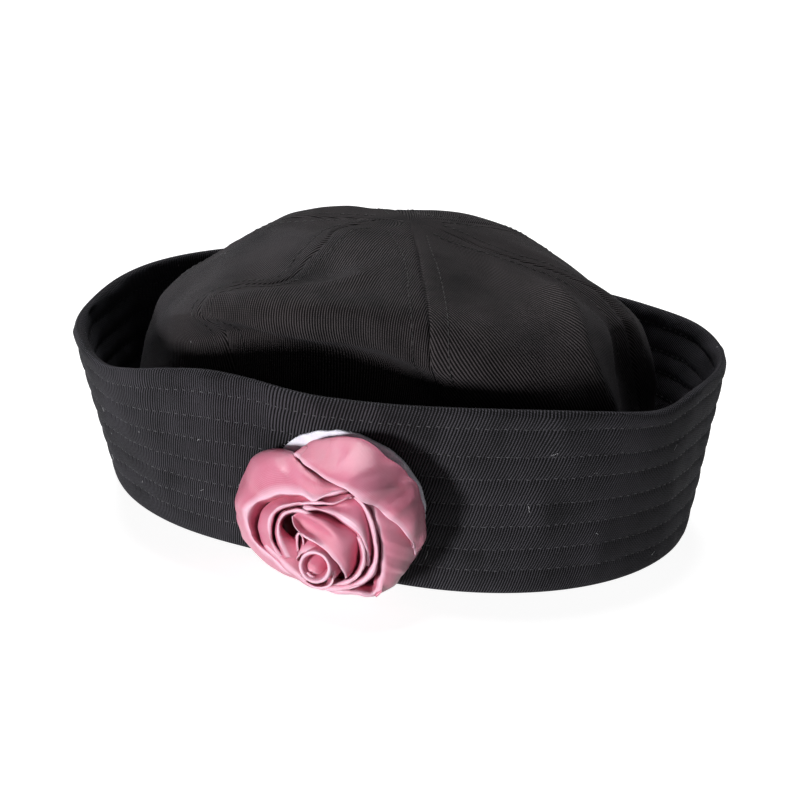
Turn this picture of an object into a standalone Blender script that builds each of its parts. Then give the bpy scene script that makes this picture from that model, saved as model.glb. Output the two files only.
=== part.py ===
"""A sailor cap: a soft crown of six gores, a turned-up quilted brim, and a ribbon rose on a felt disc.

Metres, +Z up. The wearer looks along -Y, the wearer's right is -X, and the cap rests on the fold of
its brim at Z = 0. Named sizes and tables are in millimetres, and azimuths in degrees from +X.
"""

import math

import bmesh
import bpy
import numpy as np

MM = 0.001
GAP = 0.3  # between neighbouring pieces
MIDDLE = (-11.0, -5.05)  # of the box around the cap, moved to the origin

# The turned-up brim: a cuff of several layers of twill, which flares from its fold to its rim.
BRIM_WALL = 3.0
FOLD_ROUND, RIM_ROUND = 0.9, 1.3
BRIM_STATIONS = 88
# azimuth, radius of the fold, outward flare at the rim, height of the rim
BRIM_ROWS = (
    (0, 84, 12, 65),
    (30, 93, 10, 65),
    (60, 105, 5, 65),
    (90, 105, 7, 65),
    (120, 96, 18, 61),
    (150, 85, 20, 64),
    (180, 79, 13, 67),
    (210, 93, 6, 66),
    (240, 110, 4, 65),
    (270, 115, 7, 62),
    (300, 107, 12, 66),
    (330, 87, 12, 65),
)

# The crown: six gores of single twill, whose lower edge meets the brim's fold from inside.
CROWN_WALL = 1.5
CROWN_FOOT = 0.8
CROWN_APEX = (2, -5, 103)
CROWN_STATIONS = 84
CROWN_ROWS = (2, 3, 4, 3, 3, 1)  # rows of faces between the profile's knots, from the foot to the apex
WAIST_HEIGHT, HIP_HEIGHT = 30, 62
# azimuth, radius at the waist and at the hip, then radius and height of the shoulder and of the brow
CROWN_SECTIONS = (
    (0, 77, 76, 72, 84, 42, 99),
    (30, 86, 84, 72, 83, 42, 99),
    (60, 97, 92, 72, 83, 46, 100),
    (90, 98, 92, 74, 81, 48, 100),
    (120, 90, 85, 77, 78, 46, 99),
    (150, 79, 78, 80, 85, 42, 102),
    (180, 70, 60, 68, 89, 40, 100),
    (210, 84, 70, 68, 87, 40, 99),
    (240, 99, 91, 76, 84, 42, 98),
    (270, 100, 93, 83, 84, 46, 98),
    (300, 97, 92, 78, 76, 46, 96),
    (330, 80, 80, 73, 81, 45, 97),
)
SEAM_COUNT, FIRST_SEAM = 6, 30
SEAM_DIP, SEAM_WIDTH = 0.8, 4.0  # how far the cloth draws in along a seam, and over what width
# Dents that sink in (depth above 0) and swells that stand out (below 0). Each is an oval round an
# azimuth and a distance from the apex, with its half widths round and down the crown and its depth
DENTS = (
    (152, 60, 26, 13, 6),
    (140, 84, 22, 12, -2),
    (198, 116, 45, 16, 7),
    (272, 92, 15, 38, 8),
)
# Creases that stand out: azimuth and distance from the apex at either end, half width and height
CREASES = (
    (257, 66, 261, 122, 10, 3),
)

# The felt disc lies on the brim's outer face, on the wearer's right. Its middle is at an azimuth and
# at a share of the way from the fold to the rim
ROSE_AZIMUTH, ROSE_SHARE = 195, 0.43
FELT_HALF_WIDTH, FELT_HALF_HEIGHT, FELT_THICK = 29.5, 26.5, 1.8
FELT_STATIONS = 40
# The bud stands below and in front of the felt's middle, and the turns of folded ribbon go round it
BUD_ASIDE, BUD_ABOVE = 4, -9
BUD_TOP, BUD_CUP = 34, 6
PETAL_WALL = 1.2
PETAL_SEAT = 0.5
TURN_STATIONS, TURN_ROWS = 36, 6
# angle round the bud from its front side, radius of the bud's lip
BUD_ROWS = (
    (0, 5.6),
    (30, 6.3),
    (60, 7.0),
    (90, 7.0),
    (120, 6.8),
    (150, 6.7),
    (180, 6.0),
    (210, 5.5),
    (240, 5.4),
    (270, 5.0),
    (300, 4.9),
    (330, 5.2),
)
# angle round the bud, radius of the foot, then radius and height of the belly and of the lip
INNER_ROWS = (
    (0, 6.0, 9.5, 16, 11.5, 29),
    (30, 6.5, 12, 16, 16, 29),
    (60, 7.0, 13, 16, 17, 30),
    (90, 7.0, 13, 16, 17.2, 30),
    (120, 7.5, 14, 16, 20, 30),
    (150, 7.0, 13, 16, 16.8, 30),
    (180, 6.5, 10.5, 15, 11.5, 29.5),
    (210, 6.5, 8, 15, 8.8, 29),
    (240, 6.2, 7.6, 15, 8.3, 29),
    (270, 6.2, 7.5, 15, 8.4, 29),
    (300, 6.2, 7.5, 15, 8.3, 29),
    (330, 6.2, 8, 15, 9.2, 29),
)
MIDDLE_ROWS = (
    (0, 10, 14, 15, 16, 26),
    (30, 11, 17, 15, 19.6, 26),
    (60, 12.5, 20, 14, 25, 26),
    (90, 13, 20, 14, 21.3, 28),
    (120, 13.5, 20, 14, 21.6, 28),
    (150, 13, 20, 14, 21.5, 28),
    (180, 12, 18, 14, 20, 26.5),
    (210, 10, 12, 14, 14.2, 26),
    (240, 8.8, 10.6, 14, 12.5, 26),
    (270, 8.6, 9.9, 14, 11, 26),
    (300, 8.6, 9.9, 14, 11.1, 26),
    (330, 9, 11.3, 14, 12.8, 26),
)
# the outer turn bulges between its foot and its lip: radius and height of its belly and its shoulder
OUTER_ROWS = (
    (0, 18, 27.5, 7, 25, 17, 21, 24),
    (30, 20, 30.5, 6, 28.5, 15, 23, 24),
    (60, 24, 33.5, 6, 31.5, 14, 27, 23),
    (90, 27, 35.5, 6, 32, 15, 23.5, 24),
    (120, 28, 36, 7, 32, 16, 24, 24),
    (150, 30, 41, 8, 37, 18, 28.3, 24),
    (180, 28, 39, 10, 34.5, 19, 27, 24),
    (210, 20, 29.5, 12, 24, 20, 17.6, 24),
    (240, 12.8, 19, 14.5, 16.8, 21, 14.4, 24),
    (270, 11.5, 16.2, 15.5, 15.2, 21, 13.3, 24),
    (300, 12, 18.5, 15, 17, 20.5, 14.3, 23),
    (330, 14, 21.5, 12, 20.5, 18, 18.5, 22.5),
)
ROSE_TURNS = {
    "rose_inner_petals": INNER_ROWS,
    "rose_middle_petals": MIDDLE_ROWS,
    "rose_outer_petals": OUTER_ROWS,
}


def remove_everything():
    for thing in list(bpy.data.objects):
        bpy.data.objects.remove(thing)


def round_the_oval(values):
    """A smooth closed curve through values spaced evenly round the oval, read by azimuth."""
    knots = np.asarray(values, float)
    count = len(knots)
    system = 4 * np.eye(count) + np.roll(np.eye(count), 1, 0) + np.roll(np.eye(count), -1, 0)
    slopes = np.linalg.solve(system, 3 * (np.roll(knots, -1) - np.roll(knots, 1)))

    def value_at(azimuth):
        place = np.mod(np.asarray(azimuth, float), 360) * count / 360
        first = np.floor(place).astype(int) % count
        u = place - np.floor(place)
        second = (first + 1) % count
        return (
            (2 * u**3 - 3 * u**2 + 1) * knots[first]
            + (u**3 - 2 * u**2 + u) * slopes[first]
            + (3 * u**2 - 2 * u**3) * knots[second]
            + (u**3 - u**2) * slopes[second]
        )

    return value_at


BRIM_COLUMNS = [round_the_oval([row[i] for row in BRIM_ROWS]) for i in (1, 2, 3)]
CROWN_COLUMNS = [round_the_oval([row[i] for row in CROWN_SECTIONS]) for i in range(1, 7)]


def polar(azimuth, radius, height):
    angle = np.radians(azimuth)
    parts = np.broadcast_arrays(radius * np.cos(angle), radius * np.sin(angle), height)
    return np.stack(parts, -1)


def brim_surface(azimuth, share):
    """The brim's outer face: share is 0 at the fold and 1 at the rim."""
    fold, flare, rim = (column(azimuth) for column in BRIM_COLUMNS)
    return polar(azimuth, fold + flare * share, rim * share)


def along_profile(knots, places):
    """A Catmull-Rom curve through the knots. A place of 0 is the first knot, 1 the second, and so on."""
    line = np.stack([2 * knots[0] - knots[1], *knots, 2 * knots[-1] - knots[-2]])
    before = np.minimum(places.astype(int), len(knots) - 2)
    a, b, c, d = (line[before + i] for i in range(4))
    u = (places - before)[:, None]
    return 0.5 * (2 * b + (c - a) * u + (2 * a - 5 * b + 4 * c - d) * u**2 + (3 * b - a - 3 * c + d) * u**3)


def crown_base(azimuths, places):
    """The crown's outer face before its dents, station by row, at places along its profile's knots."""
    waist, hip, shoulder_r, shoulder_z, brow_r, brow_z = (column(azimuths) for column in CROWN_COLUMNS)
    foot = BRIM_COLUMNS[0](azimuths) - BRIM_WALL - GAP
    top = CROWN_APEX[2]
    grid = []
    for i, azimuth in enumerate(azimuths):
        knots = (
            (foot[i], CROWN_FOOT),
            (waist[i], WAIST_HEIGHT),
            (hip[i], HIP_HEIGHT),
            (shoulder_r[i], shoulder_z[i]),
            (brow_r[i], brow_z[i]),
            (14, top - 0.8),
            (0, top),
        )
        line = along_profile(np.array(knots), places)
        lean = np.clip(line[:, 1] / top, 0, 1) ** 2
        points = polar(azimuth, line[:, 0], line[:, 1])
        points[:, 0] += CROWN_APEX[0] * lean
        points[:, 1] += CROWN_APEX[1] * lean
        grid.append(points)
    return np.array(grid)


def closed_normals(grid):
    """Outward unit normals of a grid that closes on itself round its first axis."""
    around = np.roll(grid, -1, 0) - np.roll(grid, 1, 0)
    along = np.gradient(grid, axis=1)
    normals = np.cross(around, along)
    return normals / np.maximum(np.linalg.norm(normals, axis=-1, keepdims=True), 1e-9)


def offset_round(azimuths, azimuth):
    """Signed difference from an azimuth, in degrees."""
    return (azimuths - azimuth + 180) % 360 - 180


def crown_relief(azimuths, radii, reach):
    """How far each point moves outwards for the seams, dents and creases."""
    rise = np.zeros_like(reach)
    ring = azimuths[:, None]
    for k in range(SEAM_COUNT):
        seam = FIRST_SEAM + k * 360 / SEAM_COUNT
        aside = np.radians(offset_round(ring, seam)) * radii
        fade = np.clip(reach / 20, 0, 1)
        rise -= SEAM_DIP * fade * np.exp(-((aside / SEAM_WIDTH) ** 2))
    for azimuth, distance, wide, long, depth in DENTS:
        aside = np.radians(offset_round(ring, azimuth)) * radii
        rise -= depth * np.exp(-((aside / wide) ** 2) - ((reach - distance) / long) ** 2)
    for azimuth, distance, end_azimuth, end_distance, width, height in CREASES:
        share = np.clip((reach - distance) / (end_distance - distance), 0, 1)
        middle = azimuth + (end_azimuth - azimuth) * share
        aside = np.radians(offset_round(ring, middle)) * radii
        past = np.minimum(reach - min(distance, end_distance), max(distance, end_distance) - reach)
        fade = np.clip(1 + past / 14, 0, 1)
        rise += height * fade * np.exp(-np.abs(aside / width) ** 1.4)
    return rise


def crown_surface(stations, rows):
    """The crown's outer face: stations round it by points from its foot, without the apex itself."""
    azimuths = np.arange(stations) * 360 / stations
    places = [knot + np.arange(count) / count for knot, count in enumerate(rows)]
    grid = crown_base(azimuths, np.concatenate([*places, [len(rows)]]))
    steps = np.linalg.norm(np.diff(grid, axis=1), axis=-1)
    reach = np.concatenate([np.cumsum(steps[:, ::-1], axis=1)[:, ::-1], np.zeros((stations, 1))], axis=1)
    radii = np.hypot(grid[..., 0], grid[..., 1])
    foot_fade = np.clip(grid[..., 2] / 20, 0, 1)
    rise = crown_relief(azimuths, radii, reach) * foot_fade
    return (grid + closed_normals(grid) * rise[..., None])[:, :-1]


def mesh_object(name, points, faces, material):
    mesh = bpy.data.meshes.new(name)
    shift = np.array([*MIDDLE, 0])
    mesh.from_pydata([tuple((p - shift) * MM) for p in points], [], faces)
    mesh.update()
    mesh.materials.append(material)
    made = bpy.data.objects.new(name, mesh)
    bpy.context.scene.collection.objects.link(made)
    for polygon in mesh.polygons:
        polygon.use_smooth = True
    return made


def plain_material(name, colour, roughness):
    made = bpy.data.materials.new(name)
    made.use_nodes = True
    shader = made.node_tree.nodes["Principled BSDF"]
    shader.inputs["Base Color"].default_value = (*colour, 1)
    shader.inputs["Roughness"].default_value = roughness
    shader.inputs["Metallic"].default_value = 0
    return made


def ring_object(name, loops, material, ends=()):
    """A closed body from loops of points, joined each to the next: a ring, or with two end points a ball."""
    rings, stations = loops.shape[:2]
    points = list(loops.reshape(-1, 3)) + list(ends)
    faces = []
    for k in range(rings - 1 if len(ends) else rings):
        m = (k + 1) % rings
        for i in range(stations):
            j = (i + 1) % stations
            faces.append((k * stations + i, k * stations + j, m * stations + j, m * stations + i))
    for ring, end in zip((0, rings - 1), range(len(ends))):
        for i in range(stations):
            faces.append((ring * stations + (i + 1) % stations, ring * stations + i, rings * stations + end))
    made = mesh_object(name, points, faces, material)
    work = bmesh.new()
    work.from_mesh(made.data)
    bmesh.ops.recalc_face_normals(work, faces=work.faces)
    work.to_mesh(made.data)
    work.free()
    return made


def make_crown():
    grid = crown_surface(CROWN_STATIONS, CROWN_ROWS)
    stations, rows = grid.shape[:2]
    points = list(grid.reshape(-1, 3)) + [np.array(CROWN_APEX, float)]
    faces = []
    for i in range(stations):
        j = (i + 1) % stations
        for k in range(rows - 1):
            faces.append((i * rows + k, j * rows + k, j * rows + k + 1, i * rows + k + 1))
        faces.append((i * rows + rows - 1, j * rows + rows - 1, len(points) - 1))
    cloth = plain_material("crown_twill", (0.03, 0.03, 0.032), 0.9)
    crown = mesh_object("crown", points, faces, cloth)
    wall = crown.modifiers.new("wall", "SOLIDIFY")
    wall.thickness = CROWN_WALL * MM
    wall.offset = -1
    return crown


def round_ends(height_share, rounding, up):
    """Half of a rounded end of the brim's section: (share of the height, height added, inset)."""
    near = rounding * (1 - math.sqrt(0.5))
    return [(height_share, up * rounding, 0), (height_share, up * near, near), (height_share, 0, rounding)]


def make_brim():
    azimuths = np.arange(BRIM_STATIONS) * 360 / BRIM_STATIONS
    fold, flare, rim = (column(azimuths) for column in BRIM_COLUMNS)
    outside = round_ends(0, FOLD_ROUND, 1)[::-1] + [(0.5, 0, 0)] + round_ends(1, RIM_ROUND, -1)
    inside = [(share, height, BRIM_WALL - inset) for share, height, inset in outside[::-1]]
    loops = []
    for share, height, inset in outside + inside:
        level = rim * share + height
        loops.append(polar(azimuths, fold + flare * level / rim - inset, level))
    cloth = plain_material("brim_twill", (0.03, 0.03, 0.034), 0.9)
    return ring_object("brim", np.array(loops), cloth)


def rose_axes():
    """The rose's own frame on the brim: its origin, then unit vectors forwards, upwards and outwards."""
    origin = brim_surface(ROSE_AZIMUTH, ROSE_SHARE)
    forwards = brim_surface(ROSE_AZIMUTH + 0.1, ROSE_SHARE) - brim_surface(ROSE_AZIMUTH - 0.1, ROSE_SHARE)
    upwards = brim_surface(ROSE_AZIMUTH, ROSE_SHARE + 0.01) - brim_surface(ROSE_AZIMUTH, ROSE_SHARE - 0.01)
    forwards /= np.linalg.norm(forwards)
    outwards = np.cross(forwards, upwards)
    outwards /= np.linalg.norm(outwards)
    return origin, np.array([forwards, np.cross(outwards, forwards), outwards])


ROSE_ORIGIN, ROSE_AXES = rose_axes()


def from_rose(points):
    return ROSE_ORIGIN + points @ ROSE_AXES


def brim_under(aside, above):
    """How far out the brim's outer face lies under a place on the rose's own plane."""
    azimuth = ROSE_AZIMUTH + np.zeros_like(aside)
    share = ROSE_SHARE + np.zeros_like(above)
    fold, flare, rim = (column(ROSE_AZIMUTH) for column in BRIM_COLUMNS)
    around, up = math.radians(fold + flare * ROSE_SHARE), math.hypot(flare, rim)
    for _ in range(12):
        local = (brim_surface(azimuth, share) - ROSE_ORIGIN) @ ROSE_AXES.T
        azimuth = azimuth + (aside - local[..., 0]) / around
        share = share + (above - local[..., 1]) / up
    return local[..., 2]


def make_felt():
    angles = np.radians(np.arange(FELT_STATIONS) * 360 / FELT_STATIONS)
    levels = [(0.5, 0), (0.97, 0), (1, 0.3), (1, FELT_THICK - 0.4), (0.97, FELT_THICK), (0.5, FELT_THICK)]
    loops = []
    for share, height in levels:
        aside = FELT_HALF_WIDTH * share * np.cos(angles)
        above = FELT_HALF_HEIGHT * share * np.sin(angles)
        loops.append(np.stack([aside, above, brim_under(aside, above) + GAP + height], -1))
    ends = [np.array([0, 0, GAP]), np.array([0, 0, GAP + FELT_THICK])]
    felt = plain_material("felt", (0.82, 0.8, 0.88), 0.95)
    return ring_object("rose_felt", from_rose(np.array(loops)), felt, from_rose(np.array(ends)))


def turn_profiles(rows, angles):
    """A turn's profile at each angle: its foot on the felt, then the knots up to its lip."""
    columns = [round_the_oval([row[i] for row in rows]) for i in range(1, len(rows[0]))]
    values = [column(np.degrees(angles)) for column in columns]
    foot = values[0]
    aside, above = BUD_ASIDE + foot * np.cos(angles), BUD_ABOVE + foot * np.sin(angles)
    floor = brim_under(aside, above) + GAP + FELT_THICK + PETAL_SEAT
    knots = [np.stack([foot, floor], -1)]
    for k in range(1, len(values), 2):
        knots.append(np.stack([values[k], values[k + 1]], -1))
    return np.stack(knots, 1)


def make_turn(name, rows, colour):
    """One turn of folded ribbon: a thin band round the bud, which stands on the felt and has a round lip."""
    angles = np.radians(np.arange(TURN_STATIONS) * 360 / TURN_STATIONS)
    half = PETAL_WALL / 2
    sections = []
    for knots in turn_profiles(rows, angles):
        line = along_profile(knots, np.linspace(0, len(knots) - 1, TURN_ROWS))
        along = np.gradient(line, axis=0)
        along /= np.linalg.norm(along, axis=1, keepdims=True)
        aside = np.stack([along[:, 1], -along[:, 0]], -1) * half
        aside[0] = (half, 0)
        tip = line[-1] + along[-1] * half * 0.8
        sections.append(np.concatenate([line + aside, [tip], (line - aside)[::-1]]))
    profile = np.array(sections)
    reach, height = profile[..., 0].T, profile[..., 1].T
    aside = BUD_ASIDE + reach * np.cos(angles)
    above = BUD_ABOVE + reach * np.sin(angles)
    satin = plain_material(name + "_satin", colour, 0.35)
    return ring_object(name, from_rose(np.stack([aside, above, height], -1)), satin)


def make_bud():
    """The rolled heart of the rose, closed below and cupped at its top."""
    angles = np.radians(np.arange(TURN_STATIONS) * 360 / TURN_STATIONS)
    lip = round_the_oval([row[1] for row in BUD_ROWS])(np.degrees(angles))
    floor = GAP + FELT_THICK + PETAL_SEAT + 0.2
    levels = (
        (0.7, 0, floor),
        (0.85, 0, 18),
        (1, -0.3, BUD_TOP - 0.6),
        (1, -0.9, BUD_TOP),
        (1, -1.7, BUD_TOP - 1.5),
        (0.6, 0, BUD_TOP - BUD_CUP),
    )
    loops = []
    for share, inset, height in levels:
        reach = lip * share + inset
        aside = BUD_ASIDE + reach * np.cos(angles)
        above = BUD_ABOVE + reach * np.sin(angles)
        loops.append(np.stack([aside, above, np.full_like(aside, height)], -1))
    ends = [np.array([BUD_ASIDE, BUD_ABOVE, height]) for height in (floor, BUD_TOP - BUD_CUP)]
    satin = plain_material("rose_bud_satin", (0.72, 0.34, 0.43), 0.35)
    return ring_object("rose_bud", from_rose(np.array(loops)), satin, from_rose(np.array(ends)))


def main():
    remove_everything()
    make_crown()
    make_brim()
    make_felt()
    make_bud()
    for name, rows in ROSE_TURNS.items():
        make_turn(name, rows, (0.66, 0.3, 0.39))


main()
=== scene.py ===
import math

import bmesh
import bpy
import numpy as np
from mathutils import Matrix, Vector


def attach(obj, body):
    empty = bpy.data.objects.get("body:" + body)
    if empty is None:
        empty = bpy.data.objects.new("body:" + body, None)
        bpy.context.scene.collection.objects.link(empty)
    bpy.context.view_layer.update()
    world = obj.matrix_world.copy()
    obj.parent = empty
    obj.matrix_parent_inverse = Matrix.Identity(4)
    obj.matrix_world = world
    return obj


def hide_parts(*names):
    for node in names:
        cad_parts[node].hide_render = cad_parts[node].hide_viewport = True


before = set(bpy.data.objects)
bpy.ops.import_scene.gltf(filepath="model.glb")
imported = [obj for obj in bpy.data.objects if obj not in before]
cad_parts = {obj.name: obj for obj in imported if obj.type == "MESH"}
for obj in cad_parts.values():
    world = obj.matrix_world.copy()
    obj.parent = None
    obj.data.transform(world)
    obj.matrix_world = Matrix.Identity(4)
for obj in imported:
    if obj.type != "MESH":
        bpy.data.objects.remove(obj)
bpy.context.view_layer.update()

# Sizes and tables are in millimetres on the hat's own axes, azimuths in degrees from +X. The wearer
# looks along -Y, and the cap rests on the fold of its brim at Z = 0.
MM = 0.001
MIDDLE = (-11.0, -5.05)

BRIM_WALL = 3.0
FOLD_ROUND, RIM_ROUND = 0.9, 1.3
# azimuth, radius of the fold, outward flare at the rim, height of the rim
BRIM_ROWS = (
    (0, 84, 12, 65),
    (30, 93, 10, 65),
    (60, 105, 5, 65),
    (90, 105, 7, 65),
    (120, 96, 18, 61),
    (150, 85, 20, 64),
    (180, 79, 13, 67),
    (210, 93, 6, 66),
    (240, 110, 4, 65),
    (270, 115, 7, 62),
    (300, 107, 12, 66),
    (330, 87, 12, 65),
)
# The seven rows of stitches from the fold up, and how much higher each runs on the wearer's left
QUILT_SHARES = (0.14, 0.25, 0.36, 0.48, 0.61, 0.74, 0.88)
QUILT_LIFTS = (-0.01, 0, 0.025, 0.027, 0.037, 0.024, 0.033)
QUILT_DIP, QUILT_PUFF = 0.3, 0.36
FACE_HEIGHT = 66  # up the brim's face, which is about as high all round
STITCH_PITCH, STITCH_LONG, STITCH_THICK = 3.2, 2.3, 0.42
STITCH_SHIFT = 0.37  # of a pitch, from each row of stitches to the next
WEFT_PITCH = SATIN_PITCH = 0.62
BRIM_RIB_PITCH, CROWN_RIB_PITCH = 0.95, 0.86
# How far the brim's ribs lean: (azimuth, degrees)
RIB_LEANS = ((0, 20), (120, 15), (155, 15), (177, 8), (200, 13), (230, 18), (246, 24), (360, 20))
# How the soft rim waves up and down: (azimuth, millimetres)
RIM_WAVES = (
    (0, -0.4), (20, 0), (60, 0.2), (90, -0.3), (103, -1.1), (116, -0.2), (126, 0.4), (132, -2), (138, -3.3),
    (146, -1.8), (155, 0.9), (163, 2.2), (171, 1.1), (180, -1.2), (186, -2), (194, -1.6), (202, -0.7),
    (216, 0.8),
    (225, 1.1), (236, 0.4), (243, -0.6), (249, -1.7), (254, -2.4), (259, -1.6), (264, 0.6), (270, 1.4),
    (278, 0.4),
    (286, -1.8), (293, -2.4), (303, -2.4), (312, -2.6), (325, -1.7), (360, -0.4),
)  # fmt: skip

CROWN_WALL, CROWN_FOOT, CROWN_LOWEST = 1.5, 0.8, 1.1
CROWN_APEX = (2, -5, 103)
CROWN_TUCK = 0.3  # how far its foot reaches into the brim
TOP_RADIUS, TOP_DROP = 14, 0.8  # of the flat round its apex
WAIST_HEIGHT, HIP_HEIGHT = 30, 62
# azimuth, radius at the waist and at the hip, then radius and height of the shoulder and of the brow
CROWN_SECTIONS = (
    (0, 77, 76, 72, 83, 42, 96.5),
    (30, 86, 84, 72, 82, 42, 96.2),
    (60, 97, 92, 72, 82, 46, 97),
    (90, 98, 92, 74, 80, 48, 97.2),
    (120, 90, 85, 77, 76, 46, 96.4),
    (150, 79, 78, 80, 83.5, 42, 100),
    (180, 70, 60, 68, 88.5, 40, 99),
    (210, 84, 70, 68, 87, 40, 97.8),
    (240, 99, 91, 76, 84, 42, 96),
    (270, 100, 93, 83, 84, 46, 96),
    (300, 97, 92, 78, 76, 46, 94.6),
    (330, 80, 80, 73, 80.5, 45, 95),
)
CROWN_ROWS = (12, 14, 24, 22, 22, 10)
GORES, FIRST_SEAM, GORE_STATIONS = 6, 30, 52
GORE_ANGLE = 360 // GORES
FRONT_SEAM = 210
SEAM_STITCH_ASIDE, SEAM_STITCH_PITCH, SEAM_STITCH_LONG = 5.5, 3, 2.4
GORE_APART = 200  # between the flat cloths of neighbouring gores
GORE_TURNS = (22, 22, 3, 26, 22, 22)  # how far each gore's ribs turn from its middle line
# How far each seam swings round the crown: (distance from the apex, degrees)
SEAM_SWING = {
    30: ((0, 0), (120, 0)),
    90: ((0, 0), (120, 0)),
    150: (
        (0, -48), (12, -48), (18, -34), (23, -23), (29, -10), (35, -1), (42, 4), (48, 4.5), (54, 5.5),
        (59, 3),
        (64, -1), (71, -4.5), (80, -4), (85, -5), (90, -4), (94, -1), (100, 0), (105, 0.5), (112, 3),
    ),
    210: ((0, -2), (18, -1.7), (39, -0.7), (56, -0.4), (67, 0.2), (77, 1.1), (91, 3), (120, 4)),
    270: ((0, 0), (18, -2), (30, -4), (38, -2), (48, 6), (60, 11.5), (72, 10.5), (86, 7.5), (100, 7),
    (120, 7)),
    330: ((0, 0), (120, 0)),
}  # fmt: skip
# Dents that sink in, and swells that stand out (depth below 0): azimuth, distance from the apex,
# half widths round and down the crown, depth
DENTS = (
    (152, 60, 26, 13, 6),
    (271, 92, 13, 39, 9),
    (240, 36, 7, 24, 1.2),
    (226, 74, 30, 22, -1),
    (184, 78, 16, 18, 0.8),
)
# Creases that stand out: half width, height, and the (azimuth, distance from the apex) they run through
CREASES = (
    (6, 4, ((257, 66), (252, 80), (249.5, 90), (251, 101), (254, 113), (257, 126))),
    (5, 2.2, ((148, 84), (158, 78), (164, 70.5), (170, 63), (177, 59), (185, 52))),
    (7, 1.2, ((165, 82), (185, 77), (205, 80), (224, 86))),
    (6, -1, ((250, 17), (240, 38), (231, 56))),
    (5, 1.2, ((282, 72), (279, 88), (280, 99), (285, 116))),
)
# Where the front folds under towards the band: (azimuth, distance from the apex, depth of the fold)
UNDERFOLD = (
    (118, 98, 0), (135, 94, 3), (150, 90, 7), (160, 88, 11), (172, 87, 12), (185, 84, 12), (197, 83, 12),
    (209, 86, 12), (217, 89, 11), (225, 92, 10), (233, 98, 8), (243, 106, 3), (252, 110, 0),
)  # fmt: skip
UNDERFOLD_RUN = 11

ROSE_AZIMUTH, ROSE_SHARE = 195, 0.43
FELT_HALF_WIDTH, FELT_HALF_HEIGHT, FELT_THICK, GAP = 28, 26.2, 1.8, 0.3
BUD_ASIDE, BUD_ABOVE = 4, -9
RIBBON_THICK, RIBBON_STEP = 0.35, 0.6
LIP_ROW, FACE_ROW = 10, 13  # rows of points across a ribbon, at its lip and on its outer face


def hermite(u, a, rise_a, b, rise_b):
    """A smooth step from a to b with the given slopes at them, at u from 0 to 1."""
    square, cube = u**2, u**3
    start = (2 * cube - 3 * square + 1) * a + (cube - 2 * square + u) * rise_a
    return start + (3 * square - 2 * cube) * b + (cube - square) * rise_b


def round_the_oval(values):
    """A smooth closed curve through values spaced evenly round the oval, read by azimuth."""
    knots = np.asarray(values, float)
    count = len(knots)
    system = 4 * np.eye(count) + np.roll(np.eye(count), 1, 0) + np.roll(np.eye(count), -1, 0)
    slopes = np.linalg.solve(system, 3 * (np.roll(knots, -1) - np.roll(knots, 1)))

    def value_at(azimuth):
        place = np.mod(np.asarray(azimuth, float), 360) * count / 360
        first = np.floor(place).astype(int) % count
        u = place - np.floor(place)
        second = (first + 1) % count
        return hermite(u, knots[first], slopes[first], knots[second], slopes[second])

    return value_at


BRIM_COLUMNS = [round_the_oval([row[i] for row in BRIM_ROWS]) for i in (1, 2, 3)]
CROWN_COLUMNS = [round_the_oval([row[i] for row in CROWN_SECTIONS]) for i in range(1, 7)]


def polar(azimuth, radius, height):
    angle = np.radians(azimuth)
    parts = np.broadcast_arrays(radius * np.cos(angle), radius * np.sin(angle), height)
    return np.stack(parts, -1)


def brim_surface(azimuth, share):
    """The brim's outer face: share is 0 at the fold and 1 at the rim."""
    fold, flare, rim = (column(azimuth) for column in BRIM_COLUMNS)
    return polar(azimuth, fold + flare * share, rim * share)


def ripple(a, b, size, seed, waves=9):
    """Smooth unevenness of about unit height over two coordinates, in waves of about the given size."""
    chance = np.random.default_rng(seed)
    total = np.zeros(np.broadcast(a, b).shape)
    for _ in range(waves):
        angle, phase = chance.uniform(0, 2 * math.pi, 2)
        step = 2 * math.pi / (size * chance.uniform(0.7, 1.6))
        total += np.sin((a * math.cos(angle) + b * math.sin(angle)) * step + phase)
    return total / math.sqrt(waves / 2)


def unit(vectors):
    return vectors / np.maximum(np.linalg.norm(vectors, axis=-1, keepdims=True), 1e-9)


def along_lengths(points):
    """How far each point of a line lies from its first."""
    steps = np.linalg.norm(np.diff(points, axis=0), axis=1)
    return np.concatenate([[0], np.cumsum(steps)])


def read_line(spots, lengths, line):
    """The places on a line of points at these lengths from its first."""
    return np.stack([np.interp(spots, lengths, line[:, i]) for i in range(3)], -1)


def brim_axes(azimuth, share):
    """Unit vectors on the brim's outer face: onwards by azimuth, up to the rim, and outwards."""
    ahead = unit(brim_surface(azimuth + 0.1, share) - brim_surface(azimuth - 0.1, share))
    up = unit(brim_surface(azimuth, share + 0.01) - brim_surface(azimuth, share - 0.01))
    return ahead, up, unit(np.cross(ahead, up))


def offset_round(azimuths, azimuth):
    return (azimuths - azimuth + 180) % 360 - 180


# ---- meshes ----


def dress(thing, node=None):
    """Puts a piece on the cap's one body, in the stead of the CAD node that it shows."""
    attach(thing, "root")
    if node:
        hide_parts(node)


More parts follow.
